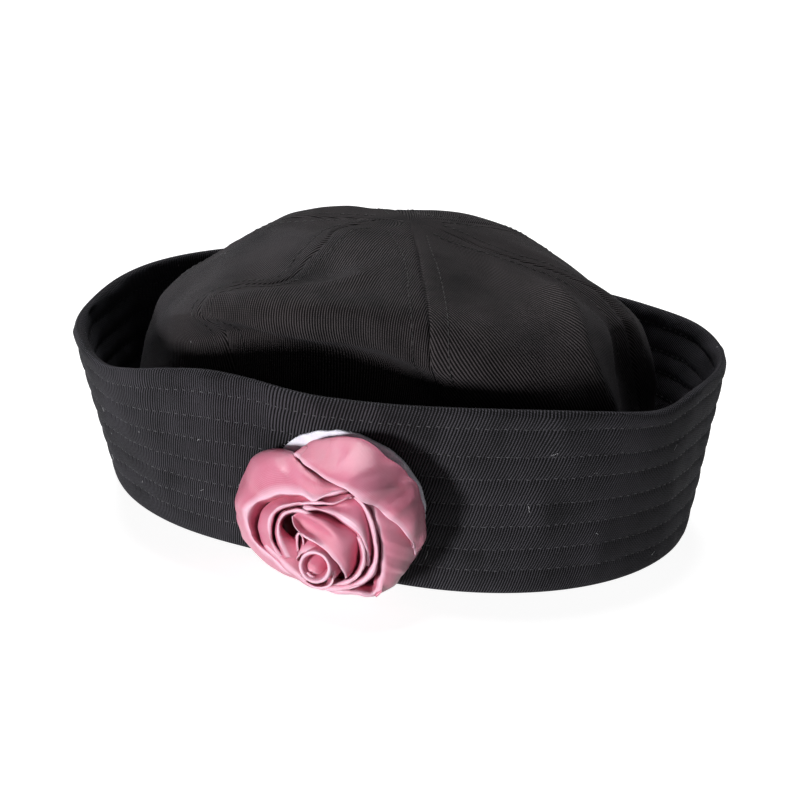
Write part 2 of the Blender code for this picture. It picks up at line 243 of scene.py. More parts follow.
def mesh_from(name, points, faces, material, corner_places=None, sides=4):
    """A smooth mesh from points in millimetres and equal-sided faces, with places on the flat cloth."""
    mesh = bpy.data.meshes.new(name)
    count = len(faces)
    shift = np.array([*MIDDLE, 0])
    mesh.vertices.add(len(points))
    mesh.vertices.foreach_set("co", ((points - shift) * MM).astype(np.float32).ravel())
    mesh.loops.add(count * sides)
    mesh.loops.foreach_set("vertex_index", faces.astype(np.int32).ravel())
    mesh.polygons.add(count)
    mesh.polygons.foreach_set("loop_start", np.arange(count, dtype=np.int32) * sides)
    mesh.polygons.foreach_set("loop_total", np.full(count, sides, np.int32))
    mesh.polygons.foreach_set("use_smooth", np.ones(count, bool))
    if corner_places is not None:
        layer = mesh.uv_layers.new(name="cloth")
        layer.data.foreach_set("uv", (corner_places * MM).astype(np.float32).ravel())
    mesh.update(calc_edges=True)
    mesh.validate()
    mesh.materials.append(material)
    made = bpy.data.objects.new(name, mesh)
    bpy.context.scene.collection.objects.link(made)
    return made


def grid_faces(stations, rows, wrap=(False, False)):
    i = np.arange(stations if wrap[0] else stations - 1)
    j = np.arange(rows if wrap[1] else rows - 1)
    i, j = np.meshgrid(i, j, indexing="ij")
    corners = [(i, j), (i + 1, j), (i + 1, j + 1), (i, j + 1)]
    faces = np.stack([(a % stations) * rows + b % rows for a, b in corners], -1).reshape(-1, 4)
    return faces, corners


def grid_object(name, grid, places, material, wrap=(False, False), flip=False):
    """A mesh over a grid of points. places has the same grid's place on the flat cloth, and one more
    station or row where the grid closes on itself."""
    stations, rows = grid.shape[:2]
    faces, corners = grid_faces(stations, rows, wrap)
    corner_places = np.stack([places[a, b] for a, b in corners], 2).reshape(-1, 4, 2)
    if flip:
        faces, corner_places = faces[:, ::-1], corner_places[:, ::-1]
    return mesh_from(name, grid.reshape(-1, 3), faces, material, corner_places)


def stitch_object(name, middles, along, out, material, long, thick):
    """Stitches as short rounded threads: middles, directions and outward normals, one row for each."""
    shares = (-0.5, -0.43, -0.2, 0.2, 0.43, 0.5)
    widths = (0, 0.62, 1, 1, 0.62, 0)
    rises = (-0.7, -0.32, 0.1, 0.1, -0.32, -0.7)
    sides = 5
    along, out = unit(along), unit(out)
    across = np.cross(out, along)
    points, half = [], thick / 2
    for share, width, rise in zip(shares, widths, rises):
        centre = middles + along * share * long + out * rise * thick
        if width == 0:
            points.append(centre[:, None])
            continue
        turns = np.arange(sides) * 2 * math.pi / sides
        ring = [centre + (across * math.cos(t) + out * math.sin(t) * 0.85) * width * half for t in turns]
        points.append(np.stack(ring, 1))
    points = np.concatenate(points, 1)
    each = points.shape[1]
    faces = []
    for s in range(sides):
        n = (s + 1) % sides
        faces.append((0, 1 + n, 1 + s))
        last = each - 1
        faces.append((last, last - sides + s, last - sides + n))
        for ring in range(3):
            a, b = 1 + ring * sides, 1 + (ring + 1) * sides
            faces += [(a + s, a + n, b + n), (a + s, b + n, b + s)]
    faces = np.array(faces)[None] + np.arange(len(middles))[:, None, None] * each
    return mesh_from(name, points.reshape(-1, 3), faces.reshape(-1, 3), material, None, 3)


def fibre_object(name, lines, thick, material):
    """Fine loose fibres: each line of points becomes a three-sided tube."""
    points, faces, start = [], [], 0
    for line in lines:
        line = np.asarray(line, float)
        ahead = unit(np.gradient(line, axis=0))
        side = unit(np.cross(ahead, [0.3, 0.2, 0.93]))
        other = np.cross(ahead, side)
        for k in range(3):
            t = k * 2 * math.pi / 3
            points.append(line + (side * math.cos(t) + other * math.sin(t)) * thick / 2)
        n = len(line)
        for k in range(3):
            a, b = start + k * n, start + (k + 1) % 3 * n
            for i in range(n - 1):
                faces.append((a + i, a + i + 1, b + i + 1, b + i))
        start += 3 * n
    return mesh_from(name, np.concatenate(points), np.array(faces), material)


# ---- materials ----


class Nodes:
    """Short ways to add shader nodes to a material."""

    def __init__(self, name):
        self.material = bpy.data.materials.new(name)
        self.material.use_nodes = True
        self.tree = self.material.node_tree
        self.shader = self.tree.nodes["Principled BSDF"]

    def add(self, kind, inputs=(), **settings):
        node = self.tree.nodes.new(kind)
        for key, value in settings.items():
            setattr(node, key, value)
        for key, value in dict(inputs).items():
            self.feed(node.inputs[key], value)
        return node

    def feed(self, socket, value):
        if isinstance(value, bpy.types.NodeSocket):
            self.tree.links.new(value, socket)
        else:
            socket.default_value = value

    def math(self, operation, *values):
        node = self.add("ShaderNodeMath", operation=operation)
        for i, value in enumerate(values):
            self.feed(node.inputs[i], value)
        return node.outputs[0]

    def plus(self, a, b):
        return self.math("ADD", a, b)

    def minus(self, a, b):
        return self.math("SUBTRACT", a, b)

    def times(self, a, b):
        return self.math("MULTIPLY", a, b)

    def wave(self, place, pitch):
        return self.math("SINE", self.times(place, 2 * math.pi / pitch))

    def mix(self, share, a, b):
        """A blend of two colours, each a socket or red, green and blue."""
        node = self.add("ShaderNodeMix", data_type="RGBA")
        self.feed(node.inputs[0], share)
        for i, colour in ((6, a), (7, b)):
            self.feed(node.inputs[i], (*colour, 1) if isinstance(colour, tuple) else colour)
        return node.outputs[2]

    def cloth_places(self):
        """Two coordinates over the flat cloth, in millimetres."""
        flat = self.add("ShaderNodeUVMap", uv_map="cloth")
        split = self.add("ShaderNodeSeparateXYZ", {"Vector": flat.outputs[0]})
        return self.times(split.outputs[0], 1 / MM), self.times(split.outputs[1], 1 / MM)

    def place(self):
        return self.add("ShaderNodeTexCoord").outputs["Object"]

    def noise(self, scale, detail=2, rough=0.5):
        inputs = {"Vector": self.place(), "Scale": scale, "Detail": detail, "Roughness": rough}
        return self.add("ShaderNodeTexNoise", inputs).outputs["Fac"]

    def range(self, value, low, high, new_low, new_high):
        inputs = {"Value": value, "From Min": low, "From Max": high, "To Min": new_low, "To Max": new_high}
        return self.add("ShaderNodeMapRange", inputs).outputs[0]

    def bump(self, height, strength, distance, before=None):
        node = self.add("ShaderNodeBump", {"Height": height, "Strength": strength, "Distance": distance})
        if before is not None:
            self.feed(node.inputs["Normal"], before)
        return node.outputs[0]

    def set(self, **values):
        """Feeds the shader's inputs, named with _ for each space."""
        for key, value in values.items():
            self.feed(self.shader.inputs[key.replace("_", " ")], value)


def twill(name, shaded_valley, crest, pitch):
    """Cotton twill: ribs with thread breaks along them, a worn tone, and specks of lint. Its rib valleys
    are painted far darker than the crests, as painted shade.
    """
    n = Nodes(name)
    u, v = n.cloth_places()
    across = n.plus(u, n.times(n.minus(n.noise(160, 1), 0.5), 0.3))
    rib = n.plus(n.times(n.wave(across, pitch), 0.5), 0.5)
    offset = n.times(n.math("FLOOR", n.math("DIVIDE", across, pitch)), 2.3)
    weft = n.math("SINE", n.plus(n.times(v, 2 * math.pi / WEFT_PITCH), offset))
    height = n.plus(n.times(rib, n.range(weft, -1, 1, 0.62, 1)), n.times(n.noise(1900, 2, 0.6), 0.3))
    tone = n.noise(46, 4, 0.6)
    # painted shade: the colour runs from the near-black valley colour up to the crest colour with rib height
    share = n.range(n.times(height, n.range(tone, 0.3, 0.7, 0.65, 1.21)), 0.36, 0.9, 0, 1)
    specks = n.add("ShaderNodeTexVoronoi", {"Vector": n.place(), "Scale": 260, "Randomness": 1})
    near = n.range(specks.outputs["Distance"], 0.05, 0.13, 1, 0)
    pick = n.add("ShaderNodeSeparateColor", {"Color": specks.outputs["Color"]})
    rare = n.math("GREATER_THAN", pick.outputs[0], 0.985)
    n.set(
        Base_Color=n.mix(n.times(near, rare), n.mix(share, shaded_valley, crest), (0.2, 0.2, 0.21)),
        Roughness=n.range(tone, 0.3, 0.7, 0.78, 0.92),
        Normal=n.bump(height, 1, 0.0003, n.bump(n.noise(330, 3), 0.25, 0.0004)),
        Sheen_Weight=0.03,
        Sheen_Roughness=0.45,
        Sheen_Tint=(0.8, 0.85, 1, 1),
        Specular_IOR_Level=0.12,
    )
    return n.material


def thread(name, dark, light):
    """Twisted sewing thread. Its lighter twist bands are partly the twist and partly a painted highlight."""
    n = Nodes(name)
    inputs = {"Vector": n.place(), "Scale": 900, "Distortion": 1.5}
    twist = n.add("ShaderNodeTexWave", inputs, bands_direction="DIAGONAL").outputs["Fac"]
    # the light colour on the twist bands is partly a painted highlight
    colour = n.mix(n.noise(300), n.mix(twist, dark, light), dark)
    n.set(Base_Color=colour, Roughness=0.6, Normal=n.bump(twist, 0.6, 0.00006), Specular_IOR_Level=0.4)
    return n.material


def satin(name, base, deep):
    """Polyester satin ribbon: fine diagonal weave, soft tone changes and a gloss that runs along it. It is
    lighter along the fold at its lip, where v is 0, as a painted highlight, and deeper down its inner
    face, where v is negative, as painted shade."""
    n = Nodes(name)
    u, v = n.cloth_places()
    weave = n.times(n.wave(n.plus(u, v), SATIN_PITCH), n.wave(n.minus(u, v), SATIN_PITCH))
    slub = n.add("ShaderNodeCombineXYZ", {"X": n.times(u, 0.12), "Y": n.times(v, 1.6)}).outputs[0]
    lines = n.add("ShaderNodeTexNoise", {"Vector": slub, "Scale": 1, "Detail": 3}).outputs["Fac"]
    colour = n.mix(n.range(n.noise(70, 3), 0.35, 0.65, 0, 0.7), base, deep)
    colour = n.mix(n.range(weave, -1, 1, 0, 0.3), colour, (0.95, 0.5, 0.62))
    # painted highlight: lighter colour along the fold at the lip
    colour = n.mix(n.range(n.math("ABSOLUTE", v), 0.5, 1.9, 0.72, 0), colour, (0.9, 0.52, 0.64))
    # painted shade: deeper, redder colour down the inner face, between the petals
    colour = n.mix(n.range(v, -9, -1.5, 0.5, 0), colour, (0.62, 0.09, 0.17))
    normal = n.bump(weave, 0.6, 0.00005, n.bump(n.noise(170, 3), 0.45, 0.0006))
    n.set(
        Base_Color=colour,
        Roughness=n.range(n.noise(120, 2), 0.3, 0.7, 0.32, 0.45),
        Normal=n.bump(lines, 0.25, 0.0001, normal),
        Sheen_Weight=0.08,
        Sheen_Roughness=0.35,
        Sheen_Tint=(1, 0.85, 0.9, 1),
        Anisotropic=0.6,
        Tangent=n.add("ShaderNodeTangent", direction_type="UV_MAP", uv_map="cloth").outputs[0],
        Specular_IOR_Level=0.65,
        Subsurface_Weight=0.3,
        Subsurface_Radius=(1, 0.35, 0.45),
        Subsurface_Scale=0.003,
    )
    return n.material


def felt_material(name, light, shade):
    n = Nodes(name)
    mottle = n.noise(420, 5, 0.65)
    colour = n.mix(n.range(mottle, 0.35, 0.7, 0, 1), light, shade)
    normal = n.bump(n.noise(1500, 4, 0.7), 0.7, 0.00025, n.bump(mottle, 0.6, 0.0005))
    n.set(Base_Color=colour, Roughness=0.95, Normal=normal, Sheen_Weight=0.4, Sheen_Roughness=0.6)
    return n.material


def lint_material(name):
    n = Nodes(name)
    n.set(Base_Color=n.mix(n.noise(500), (0.55, 0.55, 0.57), (0.75, 0.75, 0.77)), Roughness=0.8)
    return n.material


def floor_material(name):
    """A pale floor that gives out some light, so that it comes out white beside the black cloth."""
    n = Nodes(name)
    pale = n.mix(n.noise(3), (0.42, 0.42, 0.42), (0.4, 0.4, 0.405))
    n.set(Base_Color=pale, Roughness=0.9, Specular_IOR_Level=0.1)
    n.set(Emission_Color=(1, 1, 1, 1), Emission_Strength=0.93)
    return n.material


# ---- the brim ----


def brim_length(azimuths):
    """The length round the brim from azimuth 0, halfway up."""
    fine = np.arange(721) * 0.5
    return np.interp(azimuths, fine, along_lengths(brim_surface(fine, 0.5)))


def brim_rows():
    """Shares of the brim's height for its rows of points, close together near each row of stitches."""
    shares = {0.5 * (a + b) for a, b in zip(QUILT_SHARES, QUILT_SHARES[1:])}
    for row in QUILT_SHARES:
        shares |= {row + aside / FACE_HEIGHT for aside in (-1.8, -0.6, 0, 0.6, 1.8)}
    shares |= {0.03, 0.055, 0.09, 0.93, 0.95, 0.97}
    return np.array(sorted(shares))


def lifted(share, azimuth):
    """The share of the brim's height at which a row runs, higher on the wearer's left than on the right."""
    side = np.clip(0.5 - 0.5 * np.cos(np.radians(azimuth - 130) * 1.2), 0, 1) * (azimuth > 130)
    side = np.where(azimuth > 280, 1 - (azimuth - 280) / 80, side)
    rows = (0, *QUILT_SHARES, 0.96, 1)
    return share + side * np.interp(share, rows, (0, *QUILT_LIFTS, 0.008, 0))


def quilt_rise(share, around):
    """How far the cloth stands out from the plain brim between rows of stitches, and sinks at them."""
    edges = (0.0, *QUILT_SHARES, 1.0)
    rise = np.zeros(np.broadcast(share, around).shape)
    for low, high in zip(edges, edges[1:]):
        inside = (share >= low) & (share < high)
        middle = np.clip((share - low) / (high - low), 0, 1)
        rise = np.where(inside, np.sin(math.pi * middle) ** 0.8 * QUILT_PUFF, rise)
    for k, row in enumerate(QUILT_SHARES):
        aside = (share - row) * FACE_HEIGHT
        pucker = 0.65 - 0.35 * np.cos(2 * math.pi * (around / STITCH_PITCH + STITCH_SHIFT * k))
        rise = rise - QUILT_DIP * pucker * np.exp(-((aside / 0.8) ** 2))
    drift = ripple(around, share * FACE_HEIGHT * 0.6, 12, 3) * 0.1 + ripple(around, share * 30, 34, 4) * 0.25
    return rise + drift * np.clip(share * 8, 0, 1)


def rounding(radius, steps):
    """A quarter round: (how far along, how far in) from the flat face to the end."""
    turns = np.linspace(0, math.pi / 2, steps + 1)[1:]
    return [(radius * math.sin(t), radius * (1 - math.cos(t))) for t in turns]


def rim_wave(azimuth, share):
    """How far the soft rim's waves lift the cloth at this share of its height."""
    return smooth_table(RIM_WAVES, azimuth) * np.clip(share * 1.6 - 0.6, 0, 1) ** 1.5


def brim_section(azimuths, around):
    """Once round the cuff's wall, outside then inside: each row's radius, level and place on the cloth."""
    fold, flare, rim = (column(azimuths) for column in BRIM_COLUMNS)
    low, high = rounding(FOLD_ROUND, 3), rounding(RIM_ROUND, 4)
    wall_rows = []
    for side in (1, -1):
        rows = [(FOLD_ROUND - along + 0 * rim, depth, 0) for along, depth in low[::-1]]
        for share in brim_rows():
            rows.append((rim * lifted(share, azimuths), 0, side * quilt_rise(share, around)))
        rows += [(rim + along - RIM_ROUND, depth, 0) for along, depth in high]
        for level, depth, rise in rows[::side]:
            share = level / rim
            inset = BRIM_WALL / 2 - side * (BRIM_WALL / 2 - depth)
            place = level if side > 0 else 2 * rim + BRIM_WALL - level
            wall_rows.append((fold + flare * share - inset + rise, level + rim_wave(azimuths, share), place))
    return wall_rows


def make_brim(stations=860):
    azimuths = np.arange(stations) * 360 / stations
    wall_rows = brim_section(azimuths, brim_length(azimuths))
    grid = np.stack([polar(azimuths, radius, level) for radius, level, _ in wall_rows], 1)
    grid[..., 2] = np.maximum(grid[..., 2], 0.02)
    closed = np.append(azimuths, 360)
    across = np.stack([np.append(place, place[0]) for _, _, place in wall_rows], 1)
    across = np.concatenate([across, across[:, :1] + 2 * (FACE_HEIGHT + BRIM_WALL)], 1)
    lean = np.tan(np.radians(np.interp(closed, *np.array(RIB_LEANS, float).T)))
    places = np.stack([brim_length(closed)[:, None] - across * lean[:, None], across], -1)
    cloth = twill("brim_twill_cloth", (0.0006, 0.0006, 0.0008), (0.056, 0.0525, 0.062), BRIM_RIB_PITCH)
    dress(grid_object("brim_cloth", grid, places, cloth, (True, True)), "brim")
    make_brim_stitches()


def make_brim_stitches():
    """Stitches along each row, outside and inside, with a near-black bead between each two as
    painted shade in the needle hole.
    """
    middles, along, out = [], [], []
    fine = np.arange(3601) * 0.1
    around = brim_length(fine)
    spots_round = np.arange(int(around[-1] / STITCH_PITCH)) + 0.5
    for side in (1, -1):
        for k, row in enumerate(QUILT_SHARES):
            spots = (spots_round - STITCH_SHIFT * k) * STITCH_PITCH
            azimuth = np.interp(spots % around[-1], around, fine)
            share = lifted(row, azimuth)
            point = brim_surface(azimuth, share + ripple(spots, 0 * spots, 9, 60 + k) * 0.1 / FACE_HEIGHT)
            point[:, 2] += rim_wave(azimuth, share)
            ahead, up, normal = brim_axes(azimuth, share)
            if side < 0:
                point = point - normal * BRIM_WALL
                normal = -normal
            tilt = ripple(spots, 0 * spots + k, 7, 80 + k)[:, None] * 0.05 - 0.04
            middles.append(point + normal * (quilt_rise(row, spots) + 0.04)[:, None])
            along.append(unit(ahead + up * tilt))
            out.append(normal)
    middles, along, out = (np.concatenate(part) for part in (middles, along, out))
    # the lighter thread colour is partly a painted highlight on the stitches
    colour = thread("quilting_thread", (0.012, 0.012, 0.014), (0.13, 0.125, 0.14))
    made = stitch_object("brim_stitches", middles, along, out, colour, STITCH_LONG, STITCH_THICK)
    dress(made)
    # painted shade: near-black beads at the stitch ends stand for the shade in the needle holes
    ends = middles - along * STITCH_PITCH / 2 - out * 0.05
    dark = thread("needle_hole_painted_shade", (0.0003, 0.0003, 0.0003), (0.001, 0.001, 0.001))
    dress(stitch_object("brim_needle_hole_painted_shade", ends, along, out, dark, 1.05, 0.5))


# ---- the crown ----


def crown_base(azimuths, places):
    """The crown's outer face before its dents. azimuths is one for each station and row."""
    columns = [column(azimuths) for column in CROWN_COLUMNS]
    foot = BRIM_COLUMNS[0](azimuths) - BRIM_WALL + CROWN_TUCK
    waist, hip, shoulder_r, shoulder_z, brow_r, brow_z = columns
    top = CROWN_APEX[2]
    knots = [(foot, CROWN_FOOT), (waist, WAIST_HEIGHT), (hip, HIP_HEIGHT), (shoulder_r, shoulder_z)]
    knots += [(brow_r, brow_z), (TOP_RADIUS, top - TOP_DROP), (0, top)]
    knots = np.array([np.broadcast_arrays(radius, height, foot)[:2] for radius, height in knots])
    knots = np.moveaxis(knots, 1, -1)
    line = np.concatenate([2 * knots[:1] - knots[1:2], knots, 2 * knots[-1:] - knots[-2:-1]])
    before = np.minimum(places.astype(int), len(knots) - 2)
    u = (places - before)[None, :, None]
    rows = np.arange(len(places))
    a, b, c, d = (np.moveaxis(line[before + i, :, rows], 0, 1) for i in range(4))
    curve = 0.5 * (2 * b + (c - a) * u + (2 * a - 5 * b + 4 * c - d) * u**2 + (3 * b - a - 3 * c + d) * u**3)
    lean = np.clip(curve[..., 1] / top, 0, 1) ** 2
    points = polar(azimuths, curve[..., 0], curve[..., 1])
    points[..., 0] += CROWN_APEX[0] * lean
    points[..., 1] += CROWN_APEX[1] * lean
    return points


def closed_normals(grid):
    around = np.roll(grid, -1, 0) - np.roll(grid, 1, 0)
    return unit(np.cross(around, np.gradient(grid, axis=1)))


def gore_shares():
    """Stations across a gore, from one seam to the next, closer together near the seams."""
    t = np.arange(GORE_STATIONS) / GORE_STATIONS
    return t - 0.125 * np.sin(2 * math.pi * t)


def smooth_table(pairs, at):
    """A smooth curve through (place, value) pairs, level beyond its ends."""
    x, y = np.array(pairs, float).T
    slopes = np.gradient(y, x)
    slopes[0] = slopes[-1] = 0
    at = np.clip(at, x[0], x[-1])
    before = np.clip(np.searchsorted(x, at, side="right") - 1, 0, len(x) - 2)
    gap = x[before + 1] - x[before]
    u = (at - x[before]) / gap
    return hermite(u, y[before], slopes[before] * gap, y[before + 1], slopes[before + 1] * gap)


def crown_reach(places):
    """How far down the crown's face a row lies from the apex, read by azimuth."""
    azimuths = np.repeat(np.arange(360.0)[:, None], len(places), 1)
    steps = np.linalg.norm(np.diff(crown_base(azimuths, places), axis=1), axis=-1)
    down = np.concatenate([np.cumsum(steps[:, ::-1], axis=1)[:, ::-1], np.zeros((360, 1))], axis=1)
    rows = np.arange(len(places))

    def at(azimuths):
        place = np.mod(azimuths, 360)
        first = np.floor(place).astype(int) % 360
        u = place - np.floor(place)
        return down[first, rows] * (1 - u) + down[(first + 1) % 360, rows] * u

    return at


def crown_relief(points, azimuths, radii, reach, seam_aside):
    """How far each point moves outwards for the seams, dents, creases and small unevenness."""
    fade = np.clip(reach / 24, 0, 1)
    aside = np.abs(seam_aside)
    front = np.abs(offset_round(azimuths, FRONT_SEAM)) < 30
    rise = -np.where(front, 0.8, 0.4) * fade * np.exp(-((aside / np.where(front, 0.42, 0.8)) ** 2))
    rise += 0.22 * fade * np.exp(-(np.maximum(aside - 5, 0) / 2.6) ** 2) * (1 - np.exp(-((aside / 1.1) ** 2)))
    rise -= 0.22 * fade * np.exp(-(((aside - SEAM_STITCH_ASIDE) / 0.6) ** 2))
    rise -= 0.35 * fade * np.exp(-((aside / 10) ** 2))
    for azimuth, distance, wide, long, depth in DENTS:
        away = np.radians(offset_round(azimuths, azimuth)) * radii
        rise -= depth * np.exp(-((away / wide) ** 2) - ((reach - distance) / long) ** 2)
    for width, height, line in CREASES:
        away = offset_round(azimuths, line[0][0])
        line = [(np.radians(away - (a - line[0][0])) * radii, reach - distance) for a, distance in line]
        nearest = np.full(azimuths.shape, 1e9)
        for (ax, ay), (bx, by) in zip(line, line[1:]):
            dx, dy = ax - bx, ay - by
            share = np.clip((ax * dx + ay * dy) / np.maximum(dx**2 + dy**2, 1e-6), 0, 1)
            nearest = np.minimum(nearest, np.hypot(ax - share * dx, ay - share * dy))
        rise += height * np.exp(-np.abs(nearest / width) ** 1.4)
    azimuth, distance, depth = np.array(UNDERFOLD, float).T
    turned = np.mod(azimuths, 360)
    under = np.clip((reach - np.interp(turned, azimuth, distance)) / UNDERFOLD_RUN, 0, 1)
    rise -= np.interp(turned, azimuth, depth) * under**1.4 * (1.6 - 0.6 * under)
    x, y = points[..., 0] + 0.5 * points[..., 2], points[..., 1] - 0.6 * points[..., 2]
    rise += (0.35 * ripple(x, y, 42, 31) + 0.12 * ripple(x, y, 16, 32)) * np.clip(reach / 30, 0, 1)
    pucker = np.sin(reach * 2 * math.pi / 7.3 + 1.5 * np.sin(reach / 9))
    rise += 0.07 * np.exp(-np.maximum(aside - 2, 0) / 5) * pucker * fade
    return rise


def crown_parts():
    """The crown's grid of points, each point's reach from the apex and aside from the nearest seam."""
    places = [knot + np.arange(count) / count for knot, count in enumerate(CROWN_ROWS)]
    places = np.concatenate([*places, [len(CROWN_ROWS)]])
    shares = gore_shares()
    reach_at = crown_reach(places)
    seams = []
    for k in range(GORES + 1):
        seam = FIRST_SEAM + GORE_ANGLE * k
        line = np.full(len(places), float(seam))
        for _ in range(6):
            line = seam + smooth_table(SEAM_SWING[seam % 360], reach_at(line[None])[0])
        seams.append(line)
    azimuths = np.array([a + (b - a) * share for a, b in zip(seams, seams[1:]) for share in shares])
    grid = crown_base(azimuths, places)
    reach = reach_at(azimuths)
    radii = np.hypot(grid[..., 0] - CROWN_APEX[0] * 0.5, grid[..., 1] - CROWN_APEX[1] * 0.5)
    share = np.tile(shares, GORES)[:, None]
    span = math.radians(GORE_ANGLE) * radii
    aside = np.where(share < 0.5, share * span, (share - 1) * span)
    foot_fade = np.clip(grid[..., 2] / 20, 0, 1)
    rise = crown_relief(grid, azimuths, radii, reach, aside) * foot_fade
    grid = grid + closed_normals(grid) * rise[..., None]
    return grid[:, :-1], reach[:, :-1], radii[:, :-1], azimuths[:, :-1]


def make_crown():
    grid, reach, radii, azimuths = crown_parts()
    stations, rows = grid.shape[:2]
    # each gore's cloth is laid flat by itself, with its ribs turned from the gore's middle line
    faces, corners = grid_faces(stations, rows, (True, False))
    gore = corners[0][0] // GORE_STATIONS
    turn = np.radians(np.array(GORE_TURNS)[gore])
    corner_places = []
    for a, b in corners:
        a = a % stations
        x = np.radians(offset_round(azimuths[a, b], FIRST_SEAM + GORE_ANGLE * (gore + 0.5))) * radii[a, b]
        y = reach[a, b]
        flat_x, flat_y = x * np.cos(turn) - y * np.sin(turn), x * np.sin(turn) + y * np.cos(turn)
        corner_places.append(np.stack([flat_x + GORE_APART * gore, flat_y], -1))
    corner_places = np.stack(corner_places, 2).reshape(-1, 4, 2)
    points = np.concatenate([grid.reshape(-1, 3), np.array([CROWN_APEX], float)])
    points[:, 2] = np.maximum(points[:, 2], CROWN_LOWEST)
    cloth = twill("crown_twill_cloth", (0.0006, 0.0005, 0.0006), (0.062, 0.0535, 0.056), CROWN_RIB_PITCH)
    crown = mesh_from("crown_cloth", points, faces, cloth, corner_places)
    top = np.arange(stations) * rows + rows - 1
    add_fan(crown, np.stack([top, np.roll(top, -1), np.full(stations, stations * rows)], 1))
    thicken(crown, CROWN_WALL)
    dress(crown, "crown")
    make_crown_stitches(grid, reach, radii)


def thicken(thing, thickness):
    """Gives a sheet its thickness, inwards from its outer face."""
    wall = thing.modifiers.new("wall", "SOLIDIFY")
    wall.thickness = thickness * MM
    wall.offset = -1


def add_fan(thing, triangles):
    """Closes the crown's top with triangles round its last point."""
    work = bmesh.new()
    work.from_mesh(thing.data)
    work.verts.ensure_lookup_table()
    for triangle in triangles:
        face = work.faces.new([work.verts[i] for i in triangle])
        face.smooth = True
    work.to_mesh(thing.data)
    work.free()


def seam_line(values, station, side, places):
    """Values along a line beside a seam: places says how many stations away it runs at each row."""
    picked = []
    for row, place in places:
        low = int(place)
        near, far = (values[(station + side * (low + i)) % len(values), row] for i in (0, 1))
        picked.append(near + (far - near) * (place - low))
    return np.array(picked)


def make_crown_stitches(grid, reach, radii):
    """Two rows of topstitching along each seam."""
    normals = closed_normals(grid)
    middles, along, out = [], [], []
    for k in range(GORES):
        station = k * GORE_STATIONS
        shares = SEAM_STITCH_ASIDE / (math.radians(GORE_ANGLE) * radii[station])
        shown = (shares <= 0.4) & (reach[station] >= 7) & (grid[station, :, 2] >= 3)
        places = np.interp(shares, gore_shares(), np.arange(GORE_STATIONS))
        places = [(row, places[row]) for row in np.flatnonzero(shown)]
        for side in (1, -1):
            line = seam_line(grid, station, side, places)
            steps = along_lengths(line)
            count = int(steps[-1] / SEAM_STITCH_PITCH)
            spots = (np.arange(count) + 0.5) * steps[-1] / count
            point = read_line(spots, steps, line)
            ahead = read_line(spots + 0.5, steps, line) - point
            ahead[-1] = ahead[-2]
            normal = unit(read_line(spots, steps, seam_line(normals, station, side, places)))
            middles.append(point + normal * 0.12)
            along.append(unit(ahead))
            out.append(normal)
    middles, along, out = (np.concatenate(part) for part in (middles, along, out))
    # the lighter thread colour is partly a painted highlight on the stitches
    colour = thread("seam_thread", (0.006, 0.0055, 0.006), (0.05, 0.047, 0.049))
    made = stitch_object("crown_stitches", middles, along, out, colour, SEAM_STITCH_LONG, STITCH_THICK)
    dress(made)


# ---- the rose ----


def rose_axes():
    """The rose's own frame on the brim: its origin, then unit vectors forwards, upwards and outwards."""
    ahead, _, out = brim_axes(ROSE_AZIMUTH, ROSE_SHARE)
    return brim_surface(ROSE_AZIMUTH, ROSE_SHARE), np.array([ahead, np.cross(out, ahead), out])


ROSE_ORIGIN, ROSE_AXES = rose_axes()


def from_rose(points):
    """Places in the rose's own axes brought to the hat's, none sinking under the surface it rests on."""
    placed = ROSE_ORIGIN + points @ ROSE_AXES
    height = placed[..., 2]
    placed[..., 2] = (height + 0.5 + np.sqrt((height - 0.5) ** 2 + 0.6)) / 2
    return placed


def brim_under(aside, above):
    """How far out the brim's outer face lies under a place on the rose's own plane."""
    azimuth = ROSE_AZIMUTH + np.zeros_like(aside)
    share = ROSE_SHARE + np.zeros_like(above)
    fold, flare, rim = (column(ROSE_AZIMUTH) for column in BRIM_COLUMNS)
    around, up = math.radians(fold + flare * ROSE_SHARE), math.hypot(flare, rim)
    for _ in range(12):
        local = (brim_surface(azimuth, share) - ROSE_ORIGIN) @ ROSE_AXES.T
        azimuth = azimuth + (aside - local[..., 0]) / around
        share = share + (above - local[..., 1]) / up
    return local[..., 2]


